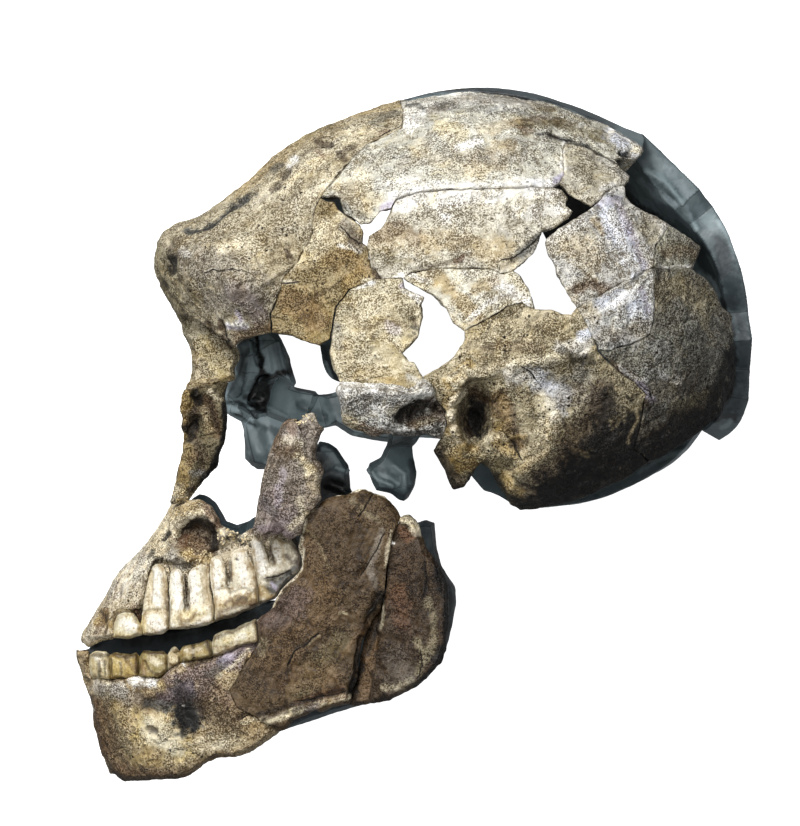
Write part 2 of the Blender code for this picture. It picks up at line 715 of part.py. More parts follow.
def arch_outside(u, v):
    fossa = 7.5 * spot(u, v, (434, 420), (26, 15))
    return ARCH_HALF_WIDTH + 1.6 * near_line(u, v, [(345, 400), (400, 398)], 14) - fossa


def arch_inside(u, v):
    return np.full(np.shape(u), ARCH_HALF_WIDTH - ARCH_THICKNESS)


def process_outside(u, v):
    hollow = 3.2 * spot(u, v, (203, 400), (9, 12)) + 3.0 * spot(u, v, (194, 432), (9, 22))
    return NASAL_HALF_WIDTH + 0.5 - hollow - 2.0 * near_line(u, v, [(216, 400), (214, 440)], 6)


def process_inside(u, v):
    return np.full(np.shape(u), NASAL_SEPTUM_DEPTH)


# Where the pieces of the lower jaw meet without a rounded edge
JAW_SEAMS = (
    [(260, 641), (245, 665), (230, 690), (238, 706), (262, 720), (280, 729.5)],
    [(401, 517), (395.5, 529), (391, 538), (390, 550), (388, 561), (385, 591), (381, 608)],
    [(322, 501), (313, 509), (306, 516), (303, 525), (302, 532)],
)

NASAL_OUTLINE = [
    (168, 296), (175, 313), (179, 319), (182, 324), (182, 330), (186, 340), (191, 351), (192.3, 361),
    (192.3, 370), (190.7, 380), (188, 389), (195, 389), (205, 387.5), (214, 384.5), (231, 380),
    (235, 379), (235, 369), (240, 359), (238.6, 350), (234, 344), (226, 330), (215, 318), (200, 305),
    (185, 294),
]
PROCESS_OUTLINE = [
    (188, 389.3), (184, 399), (181, 407), (184.5, 413), (185, 418), (184, 441), (182.5, 451), (179, 467),
    (173, 495), (171, 504), (188, 501), (198.5, 487), (211, 473), (218, 465), (220, 454), (224, 444),
    (226.5, 431), (228, 418), (226.5, 405), (225, 395), (227, 387), (228.5, 381.5), (214, 385), (205, 387.8), (195, 389.3),
]
MAXILLA_OUTLINE = [
    (171, 504.3), (162, 520), (153, 535), (136, 554), (118, 571), (110, 587), (101, 602), (91, 619),
    (82, 635), (81.5, 641), (89, 646), (100, 641), (114, 638), (114.5, 624), (117.5, 615.5),
    (124.5, 611.5), (134, 612), (138.5, 618.5), (141.5, 624.5), (142.5, 610), (170, 607),
    (213, 598), (250, 586), (262, 573), (300, 564), (302, 548), (296, 536), (275, 526), (252, 529),
    (244, 536), (233, 531), (224, 527), (219, 517), (211, 506), (201, 500), (188, 501.3),
]
BODY_OUTLINE = [
    (75.5, 650), (77, 660), (82, 677), (88, 694), (92, 708), (94, 725), (99, 741), (102, 753),
    (109, 769), (110, 773.5), (115, 773.5), (125, 781), (137, 780), (156, 779), (177, 778), (187, 775),
    (198, 769), (208, 761.5), (218, 757), (235, 756), (254, 749), (272, 736), (280, 729.5), (262, 720),
    (238, 706), (230, 690), (245, 665), (260, 641), (246, 644), (233, 649), (222, 654), (213, 656),
    (203, 659), (190, 661), (180.8, 661.5), (174, 665), (168, 670), (160, 676.5), (148, 678),
    (138, 676.5), (125, 677), (111, 678.5), (92, 678.5), (89.5, 666), (89, 651),
]
RAMUS_OUTLINE = [
    (313, 509), (306, 516), (303, 525), (302, 532), (299, 547), (302, 555.5), (303, 566), (300, 573),
    (294, 577.5), (288, 583), (282.5, 589), (277, 598), (271, 610), (262, 616), (257.6, 620), (260, 641),
    (245, 665),
    (230, 690), (238, 706), (262, 720), (280, 729.5), (307, 719), (334, 706), (349, 702), (352, 692),
    (357, 679), (359, 660), (363, 640), (371, 621), (381, 608), (385, 591), (388, 561), (390, 550),
    (391, 538), (395.5, 529), (401, 517), (398, 510), (391, 503), (384, 496), (373.5, 494), (365, 489),
    (357, 489.5), (349, 494), (337, 495), (322, 501),
]
REAR_OUTLINE = [
    (403.5, 516), (410, 515), (416, 520), (419, 528), (422, 535), (428, 550), (437, 561), (444, 573),
    (448, 585), (449, 612), (446, 647), (441, 661), (430, 672), (418, 684), (402, 692), (391, 698.5),
    (371, 702), (357, 705.5), (350, 704), (352.4, 692), (357.4, 679), (359.4, 660), (363.4, 640.2),
    (371.4, 621.2), (381.3, 608.2), (385.3, 591), (388.3, 561), (390.3, 550), (391.3, 538.2),
    (395.8, 529.3), (401.2, 517.3),
]
CORONOID_OUTLINE = [
    (290, 418), (297, 419), (300, 420.5), (306, 414), (312, 412), (316, 414), (318, 422), (324, 429),
    (318, 441), (315.5, 451), (316, 459), (322, 464.5), (325, 472), (321, 482), (321, 500), (313, 509),
    (306, 516), (303, 525), (302, 532), (291, 540), (285.5, 538), (282.5, 532), (271, 536), (266, 542),
    (259, 539), (252.5, 534), (255, 522), (259, 500), (263.5, 476), (268, 459), (274, 441), (281, 426),
]
UPPER_TEETH = {
    "upper_canine": [
        (114, 638), (114.5, 624), (117.5, 615.5), (124.5, 611.5), (134, 612), (138.5, 618.5),
        (141.5, 625), (142.5, 635), (130, 638),
    ],
    "upper_premolar": [
        (142.5, 635), (141.5, 625), (143, 611), (146, 592), (149.5, 575), (153, 566), (160, 563),
        (166, 568), (168.5, 590), (169.8, 612), (169.8, 629), (163, 632.5), (152, 635),
    ],
    "upper_first_molar": [
        (169.8, 629), (169.8, 612), (169.8, 590), (170.5, 574), (174, 568.5), (181, 568), (184.5, 574),
        (186.5, 590), (187.8, 604), (188.5, 590), (189, 574), (193, 567), (203, 563.5), (209.5, 566),
        (211.5, 590), (215, 606), (215.6, 621), (208, 624), (198, 627), (185, 628.5),
    ],
    "upper_second_molar": [
        (215.6, 621), (215, 606), (213, 590), (210.3, 572), (211, 560), (216, 555), (222, 556),
        (226, 566), (229.5, 580), (231.5, 588), (230.5, 572), (228.5, 560), (230.5, 552), (237, 548),
        (246, 549), (250.5, 556), (254.5, 566), (257, 577), (258.5, 588), (260, 604), (250, 609),
        (235, 616),
    ],
    "upper_third_molar": [
        (251, 541), (255, 535.5), (263, 540), (267, 552), (269.5, 562), (269.5, 550), (271, 539),
        (276, 535.5), (284, 540), (293, 542), (298.4, 548), (301.4, 556), (302.3, 565.6), (299.4, 572.4),
        (293.4, 576.8), (287.4, 582.3), (281.8, 588.3), (276.2, 597.4), (260, 604), (258.5, 588), (257, 577), (254.5, 566), (252.5, 552),
    ],
}
LOWER_TEETH = {
    "lower_incisor": [
        (89.5, 654), (95, 651.5), (106, 651.5), (110, 655), (110.2, 668), (111, 678.5), (92, 678.5),
        (89.5, 666),
    ],
    "lower_canine": [
        (110, 655), (115, 652), (130, 653.5), (137, 652), (139.8, 656), (140, 667), (138, 676.5),
        (125, 677), (111, 678.5), (110.2, 668),
    ],
    "lower_premolar": [
        (139.8, 656), (144, 650.5), (157, 651), (164, 650), (167.4, 655), (168, 670), (160, 676.5),
        (148, 678), (138, 676.5), (140, 667),
    ],
    "lower_second_premolar": [
        (167.4, 655), (171, 649.5), (177, 646.5), (180.5, 651), (180.8, 661.5), (174, 665), (168, 670),
    ],
    "lower_first_molar": [
        (180.5, 651), (184, 645.5), (198, 643), (209, 638.5), (212.6, 643), (213, 656), (203, 659),
        (190, 661), (180.8, 661.5),
    ],
    "lower_second_molar": [
        (212.6, 643), (214, 635), (223, 630), (235, 628), (247, 622), (257, 618), (258.5, 627),
        (260, 641), (246, 644), (233, 649), (222, 654), (213, 656),
    ],
}

# The grey right half, where its outline is not the left half's
FAR_BACK = [
    (643, 134), (661, 151), (681, 170), (700, 189.5), (713, 206), (726, 226), (736, 249),
    (744, 279), (748.6, 311), (753, 340), (750.7, 370), (749, 400), (741, 424), (731, 435), (720, 441),
    (712, 434), (704, 431), (691, 450), (669, 468), (644, 481), (623, 491), (606, 498), (589, 503),
    (570, 506), (546, 509.5), (520, 509), (511, 504), (500, 496), (491, 492), (484, 491), (477, 482),
    (470, 475), (463, 486), (453, 488), (449, 481), (441, 463), (434, 450), (441, 439.5),
]
FAR_FRONT = [
    (341, 383.5), (333, 382), (326, 376), (322, 370), (322, 361), (319.5, 353), (319, 346), (312, 344),
    (297, 338), (290, 335), (272, 334),
]
FAR_MAXILLA_OUTLINE = [
    (171, 505), (162, 520), (153, 535), (136, 554), (118, 571), (110, 587), (101, 602), (91, 619),
    (82, 635), (81.5, 641), (89, 646), (100, 642), (115, 636), (130, 637.5), (143, 634.5), (152, 634.5),
    (163, 631.5), (171, 629.5), (185, 628), (200, 626), (214, 623), (235, 616), (250, 609), (262, 603),
    (271, 597), (288, 576), (300, 560), (298, 532), (275, 515), (255, 517), (247, 521.6), (237, 525),
    (226.5, 521), (223, 514), (216, 502), (207, 495), (198.5, 493.5), (192, 498), (188, 503),
]
FAR_MANDIBLE_OUTLINE = [
    (75.5, 650), (77, 660), (82, 677), (88, 694), (92, 708), (94, 725), (99, 741), (102, 753),
    (109, 769), (110, 773.5), (115, 773.5), (125, 781), (137, 780), (156, 779), (177, 778), (187, 775),
    (198, 769), (208, 761.5), (218, 757), (235, 756), (254, 749), (272, 737), (279, 733), (307, 724),
    (334, 715), (361, 707), (391, 699.5), (420, 685), (443, 662), (450, 640), (457, 605), (456, 588),
    (451, 580), (442, 566), (438, 550), (435, 523), (426, 520), (417, 523), (400, 528), (380, 515),
    (360, 500), (351, 489.5), (349, 466), (343, 457), (337, 448), (328, 442), (319, 441), (312, 452),
    (306, 480), (303, 520), (296, 540), (291, 562), (284, 577), (279, 590), (278, 600), (262, 601),
    (240, 611), (214, 619), (196, 624), (180, 627), (160, 630), (141, 632), (128, 633.5), (116, 634),
    (104, 637.5), (95, 642), (91, 646), (88, 649),
]
FAR_ARCH_OUTLINE = EDGES["squama_arch"][::-1] + EDGES["ear_arch"][1:] + [
    (419, 438), (400, 442), (387, 443), (373, 441), (350, 436), (335, 426), (326, 428), (305, 432),
    (282, 424), (265, 416), (261, 404), (266, 384), (274, 373), (281, 371), (287.5, 375), (291, 385),
    (301, 388),
    (315, 390.5), (318, 394), (327, 393.5), (336, 391),
]
ORBIT_WALL_OUTLINE = [
    (236, 347), (240, 341), (247, 336), (256, 330), (268, 328), (276, 331), (281, 338), (286, 348),
    (290.5, 359), (291.5, 372), (288.5, 376.5), (283.5, 375.5), (276, 378), (271.5, 388),
    (269.5, 400), (266.5, 407), (270, 412), (286, 418), (296, 421), (292, 427), (280, 450), (270, 470), (257, 470), (251, 466), (244, 459),
    (243, 431), (240, 422), (229, 416), (226, 406), (226, 394), (231, 382), (237, 370), (240, 358),
]
PTERYGOID_OUTLINE = [
    (392, 400), (420, 400), (427, 425), (419, 440), (413, 447), (414, 459), (417, 473), (415, 486.5),
    (409, 498), (404, 502), (398, 500), (390, 494), (376, 491), (371, 482), (367, 470), (369, 463),
    (380, 457), (386, 445), (390, 425),
]


def far_maxilla_outside(u, v):
    """The right upper jaw in one piece with its crowns, which swell along the bite."""
    crowns = crown_share(u, v) * (0.9 + 0.8 * np.cos((u - 150) / 40 * 2 * math.pi))
    return upper_depth(u, v) + crowns


def far_maxilla_inside(u, v):
    palate = (v > 562) & (v < 592) & (u > 100)
    return np.where(palate, MEDIAN_GAP, set_in(upper_depth(u, v), 9.0 - 4.0 * crown_share(u, v)))


def far_mandible_outside(u, v):
    """The right lower jaw; its crowns stand inside the upper ones."""
    teeth = np.clip((read_line(u, [(90, 676), (165, 672), (211, 656), (262, 640)]) - v) / 6, 0, 1)
    teeth = teeth * (u < 275)
    ramus = np.clip((u - 270) / 60, 0, 1)
    depth = lower_depth(u, v)
    depth += np.where(teeth > 0, -8.5 * teeth, 1.0)
    return depth + 1.5 * ramus * (v < 600)


def far_mandible_inside(u, v):
    """Thin where the ramus passes outside the last upper molar."""
    ramus = np.clip((u - 250) / 50, 0, 1)
    depth = set_in(lower_depth(u, v), CORPUS_THICKNESS - 5.0 * ramus)
    beside = (u > 276) & (v < 602)
    return np.where(beside, np.maximum(depth, UPPER_ARCADE_HALF_WIDTH + 2.6), depth)


def far_arch_outside(u, v):
    """Level along the arch, turning in towards the face at its front."""
    return ARCH_HALF_WIDTH - ARCH_FRONT_TURN * (1 - np.clip((u - 262) / 45, 0, 1)) ** 2


def far_arch_inside(u, v):
    ridge = 2.0 * near_line(u, v, [(272, 405), (300, 418)], 5)
    return far_arch_outside(u, v) - ARCH_THICKNESS + ridge


def orbit_wall_outside(u, v):
    """Thinner at its top, which passes inside the frontal bone."""
    return 41.0 - 10.5 * np.clip((352 - v) / 8, 0, 1)


def orbit_wall_inside(u, v):
    """The folded inner face of the far orbit: two upright folds over a hollow and a lower lobe."""
    folds = -5.0 * near_line(u, v, [(243, 350), (241, 375), (231, 400)], 7)
    folds -= 4.0 * near_line(u, v, [(265, 340), (276, 365)], 12)
    hollow = 9.0 * spot(u, v, (254, 402), (18, 14))
    lobe = -5.0 * near_line(u, v, [(275, 425), (256, 448)], 14)
    return 25.0 + folds + hollow + lobe


def pterygoid_outside(u, v):
    return 27.0 + 16.0 * np.clip((440 - v) / 30, 0, 1)


def pterygoid_inside(u, v):
    return 15.0 + 4.0 * near_line(u, v, [(404, 450), (408, 485)], 6)


# Putting the pieces together


def union(mesh, other):
    """One mesh from two that overlap, by a Boolean that is applied."""
    base = bpy.data.objects.new("union_base", mesh)
    extra = bpy.data.objects.new("union_extra", other)
    bpy.context.scene.collection.objects.link(base)
    bpy.context.scene.collection.objects.link(extra)
    join = base.modifiers.new("union", "BOOLEAN")
    join.operation = "UNION"
    join.solver = "EXACT"
    join.object = extra
    graph = bpy.context.evaluated_depsgraph_get()
    joined = bpy.data.meshes.new_from_object(base.evaluated_get(graph))
    joined.name = mesh.name
    for helper in (base, extra):
        bpy.data.objects.remove(helper)
    return joined


def vault_loop(points, side_over=False):
    """Pixels on the even map; with side_over, mirrored past the rim on to the other side."""
    flat = vault_map(points)
    if side_over:
        reach = np.hypot(*flat.T)[:, None]
        flat = flat / reach * (2 - reach)
    return flat


def on_map(distance):
    """A distance in millimetres as one on the even map."""
    return distance / (BRAINCASE_HALF_WIDTH * math.pi / 2)


def nose_mesh(colour, side):
    """Half of the nose bridge, which is part of the frontal bone's node."""
    return slab_mesh("nose", NASAL_OUTLINE, nasal_depth, nose_inside, colour, side=side)


def make_left_braincase():
    for name, edges in VAULT_FRAGMENTS.items():
        colour = BONE_COLOURS[name]
        loop = inset(vault_loop(loop_of(edges)), on_map(JOINT_GAP / 2))
        rings = ear_rings() if name == "temporal_bone" else ()
        mesh = vault_mesh(name, [loop], 1, LEFT_SPACING, colour, rings)
        if name == "frontal_bone":
            mesh = union(mesh, nose_mesh(colour, 1))
        placed(name, mesh)


def make_right_braincase():
    """The grey mirror half, which reaches over the median line up to the left bone's broken edge."""
    median = EDGES["median"]
    over = EDGES["upper_edge"][:3:-1][1:]
    rest = FAR_BACK + EDGES["ear_arch"][::-1][1:] + EDGES["squama_arch"][1:-1] + FAR_FRONT
    rest += EDGES["frontal_orbit"][1:-1]
    outer = np.vstack([vault_loop(median), vault_loop(over, True), vault_loop(rest)])
    loops = [inset(outer, on_map(JOINT_GAP / 2))]
    for gap in (
        "upper_gap middle_gap side_gap",
        "squama_gap strip_gap ear_front",
        "middle_rear strip_rear ear_gap back_gap slot_mouth",
    ):
        loops.append(inset(vault_loop(loop_of(gap)), -on_map(RIGHT_HOLE_MARGIN)))
    mesh = vault_mesh("far_braincase", loops, -1, RIGHT_SPACING, GREY_COLOUR)
    placed("far_braincase", union(mesh, nose_mesh(GREY_COLOUR, -1)))


def make_left_face():
    pieces = {
        "nasal_process": (PROCESS_OUTLINE, process_outside, process_inside),
        "maxilla": (MAXILLA_OUTLINE, maxilla_outside, maxilla_inside),
        "zygomatic_process": (loop_of("squama_arch ear_arch arch_base"), arch_outside, arch_inside),
        "mandible_body": (BODY_OUTLINE, corpus_outside, corpus_inside),
        "ramus_plate": (RAMUS_OUTLINE, ramus_outside, ramus_inside),
        "ramus_rear_piece": (REAR_OUTLINE, rear_outside, rear_inside),
        "coronoid_piece": (CORONOID_OUTLINE, coronoid_outside, coronoid_inside),
    }
    for name, (outline, outside, within) in pieces.items():
        creases = {"maxilla": maxilla_creases, "ramus_rear_piece": rear_creases}.get(name, tuple)()
        mesh = slab_mesh(
            name, outline, outside, within, BONE_COLOURS[name], creases=creases, seams=JAW_SEAMS
        )
        placed(name, mesh)


def make_teeth():
    rows = (
        (UPPER_TEETH, upper_tooth_outside, upper_tooth_inside),
        (LOWER_TEETH, lower_tooth_outside, lower_tooth_inside),
    )
    for teeth, outside, within in rows:
        for name, outline in teeth.items():
            mesh = slab_mesh(
                name, outline, outside, within, TOOTH_COLOUR, TOOTH_SPACING, TOOTH_ROUNDING, TOOTH_RIM
            )
            placed(name, mesh)


def make_right_face():
    pieces = {
        "far_nasal_process": (PROCESS_OUTLINE, process_outside, process_inside),
        "far_maxilla": (FAR_MAXILLA_OUTLINE, far_maxilla_outside, far_maxilla_inside),
        "far_mandible": (FAR_MANDIBLE_OUTLINE, far_mandible_outside, far_mandible_inside),
        "far_zygomatic_arch": (FAR_ARCH_OUTLINE, far_arch_outside, far_arch_inside),
        "far_orbit_wall": (ORBIT_WALL_OUTLINE, orbit_wall_outside, orbit_wall_inside),
        "far_pterygoid": (PTERYGOID_OUTLINE, pterygoid_outside, pterygoid_inside),
    }
    for name, (outline, outside, within) in pieces.items():
        mesh = slab_mesh(name, outline, outside, within, GREY_COLOUR, RIGHT_FLAT_SPACING, side=-1)
        placed(name, mesh)


def rest_on_ground():
    """Moves the skull so that its lowest point is at height 0 and its box stands over the origin."""
    turn = Euler((math.radians(LAY_TILT_X_DEG), math.radians(LAY_TILT_Y_DEG), 0)).to_matrix()
    pieces = [piece for piece in skull.objects if piece.type == "MESH"]
    corners = np.array([point.co for piece in pieces for point in piece.data.vertices])
    corners = corners @ np.array(turn).T
    low, high = corners.min(axis=0), corners.max(axis=0)
    middle = (low + high) / 2
    lay.matrix_world = Matrix.Translation((-middle[0], -middle[1], -low[2])) @ turn.to_4x4()


for old in list(bpy.data.objects):
    bpy.data.objects.remove(old)
skull = bpy.data.collections.new("fossil_hominin_skull")
bpy.context.scene.collection.children.link(skull)
lay = bpy.data.objects.new("lay", None)
skull.objects.link(lay)
make_left_braincase()
make_right_braincase()
make_left_face()
make_teeth()
make_right_face()
rest_on_ground()
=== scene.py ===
import json
from math import radians

import bmesh
import bpy
import numpy as np
from bpy.props import FloatProperty, FloatVectorProperty, IntProperty, PointerProperty
from mathutils import Euler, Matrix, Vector


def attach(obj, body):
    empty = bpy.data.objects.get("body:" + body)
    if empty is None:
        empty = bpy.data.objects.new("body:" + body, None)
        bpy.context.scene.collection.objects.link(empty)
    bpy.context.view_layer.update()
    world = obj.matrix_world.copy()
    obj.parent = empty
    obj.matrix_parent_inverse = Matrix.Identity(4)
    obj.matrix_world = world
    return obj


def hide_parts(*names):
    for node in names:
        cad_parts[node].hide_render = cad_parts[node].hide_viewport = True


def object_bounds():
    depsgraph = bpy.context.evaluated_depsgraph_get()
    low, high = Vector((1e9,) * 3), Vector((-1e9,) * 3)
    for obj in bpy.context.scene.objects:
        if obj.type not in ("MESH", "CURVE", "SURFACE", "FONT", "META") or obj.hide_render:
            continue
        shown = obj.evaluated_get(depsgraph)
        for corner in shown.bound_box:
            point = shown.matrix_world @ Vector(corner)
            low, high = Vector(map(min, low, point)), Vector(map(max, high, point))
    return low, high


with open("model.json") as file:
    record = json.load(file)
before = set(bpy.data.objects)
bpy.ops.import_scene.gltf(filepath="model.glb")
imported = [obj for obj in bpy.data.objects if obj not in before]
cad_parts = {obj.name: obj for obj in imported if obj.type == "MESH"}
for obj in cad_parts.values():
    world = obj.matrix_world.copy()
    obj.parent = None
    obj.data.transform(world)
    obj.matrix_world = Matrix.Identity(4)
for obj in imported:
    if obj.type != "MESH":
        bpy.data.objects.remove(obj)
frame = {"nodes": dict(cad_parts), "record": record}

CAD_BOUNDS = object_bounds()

bl_info = {
    "name": "Fossil Hominin Skull",
    "version": (1, 0, 0),
    "blender": (4, 5, 0),
    "location": "View3D > Sidebar > Fossil Skull",
    "description": "Builds a broken fossil skull with its grey mirror half, piece by piece",
    "category": "Object",
}

# Where the skull lies, and how the photo's pixels fall on it
MM_PER_M = 1000
PIXEL_MM = 0.275
CENTRE_PIXEL = (415.0, 430.0)
PHOTO_SIZE = (800, 826)
LAY_TILT_X_DEG = -5.2
LAY_TILT_Y_DEG = -0.22
LAY_SHIFT_MM = (0.199, 1.412, 59.393)
CAMERA_DISTANCE = 8.0
SENSOR_MM = 36.0

LAY_TURN = (radians(LAY_TILT_X_DEG), radians(LAY_TILT_Y_DEG), 0.0)
LAY = Euler(LAY_TURN).to_matrix()
LAY_ROWS = np.array([row[:] for row in LAY])
LAY_SHIFT = np.array(LAY_SHIFT_MM)

# Colours of bone, stains and the grey half, as seen in even light. Black, umber, dark grey and dark
# slate also serve as painted shade, and white, blue-white and light slate as painted highlights.
COLOURS = {
    "white": (246, 244, 238),
    "ivory": (238, 228, 200),
    "cream": (224, 212, 180),
    "sand": (206, 192, 158),
    "tan": (182, 164, 126),
    "golden": (174, 146, 84),
    "yellow": (222, 200, 136),
    "olive": (118, 108, 76),
    "drab": (150, 140, 112),
    "brown": (108, 84, 56),
    "umber": (66, 50, 34),
    "rust": (118, 80, 54),
    "warm_grey": (138, 130, 118),
    "grey": (130, 130, 126),
    "dark_grey": (74, 74, 70),
    "lilac": (184, 176, 198),
    "mauve": (122, 106, 112),
    "blue_white": (214, 220, 234),
    "black": (16, 14, 12),
    "slate": (90, 104, 108),
    "light_slate": (176, 194, 198),
    "dark_slate": (46, 56, 60),
}

# Each piece's own colour, before anything is painted over it.
GROUND = {
    "frontal_bone": (168, 156, 127),
    "sphenoid_plate": (142, 125, 87),
    "parietal_upper": (191, 188, 174),
    "parietal_middle": (188, 181, 162),
    "parietal_strip": (212, 206, 186),
    "parietal_rear_wedge": (186, 180, 164),
    "parietal_back": (189, 186, 178),
    "parietal_back_lower": (190, 190, 186),
    "parietal_corner": (156, 154, 139),
    "temporal_squama": (186, 174, 142),
    "temporal_bone": (158, 146, 115),
    "occipital_bone": (126, 124, 112),
    "zygomatic_process": (168, 168, 165),
    "nasal_process": (98, 88, 62),
    "maxilla": (200, 186, 158),
    "mandible_body": (171, 150, 113),
    "ramus_plate": (80, 63, 40),
    "ramus_rear_piece": (61, 47, 31),
    "coronoid_piece": (136, 125, 113),
    "upper_canine": (216, 206, 172),
    "upper_premolar": (210, 198, 168),
    "upper_first_molar": (228, 220, 196),
    "upper_second_molar": (226, 216, 190),
    "upper_third_molar": (188, 178, 154),
    "lower_incisor": (240, 228, 186),
    "lower_canine": (190, 166, 102),
    "lower_premolar": (160, 144, 94),
    "lower_second_premolar": (234, 222, 184),
    "lower_first_molar": (164, 150, 102),
    "lower_second_molar": (204, 194, 160),
    # The grey half is one material. Its pieces' different grounds are painted light and shade: the orbit
    # wall and cheek arch, which lie in shadow, are made lighter, and the lower jaw behind the teeth
    # darker.
    "far_braincase": (104, 118, 122),
    "far_nasal_process": (84, 96, 100),
    "far_maxilla": (72, 88, 94),
    "far_mandible": (46, 54, 58),
    "far_zygomatic_arch": (158, 176, 180),
    "far_orbit_wall": (164, 182, 187),
    "far_pterygoid": (98, 114, 118),
}
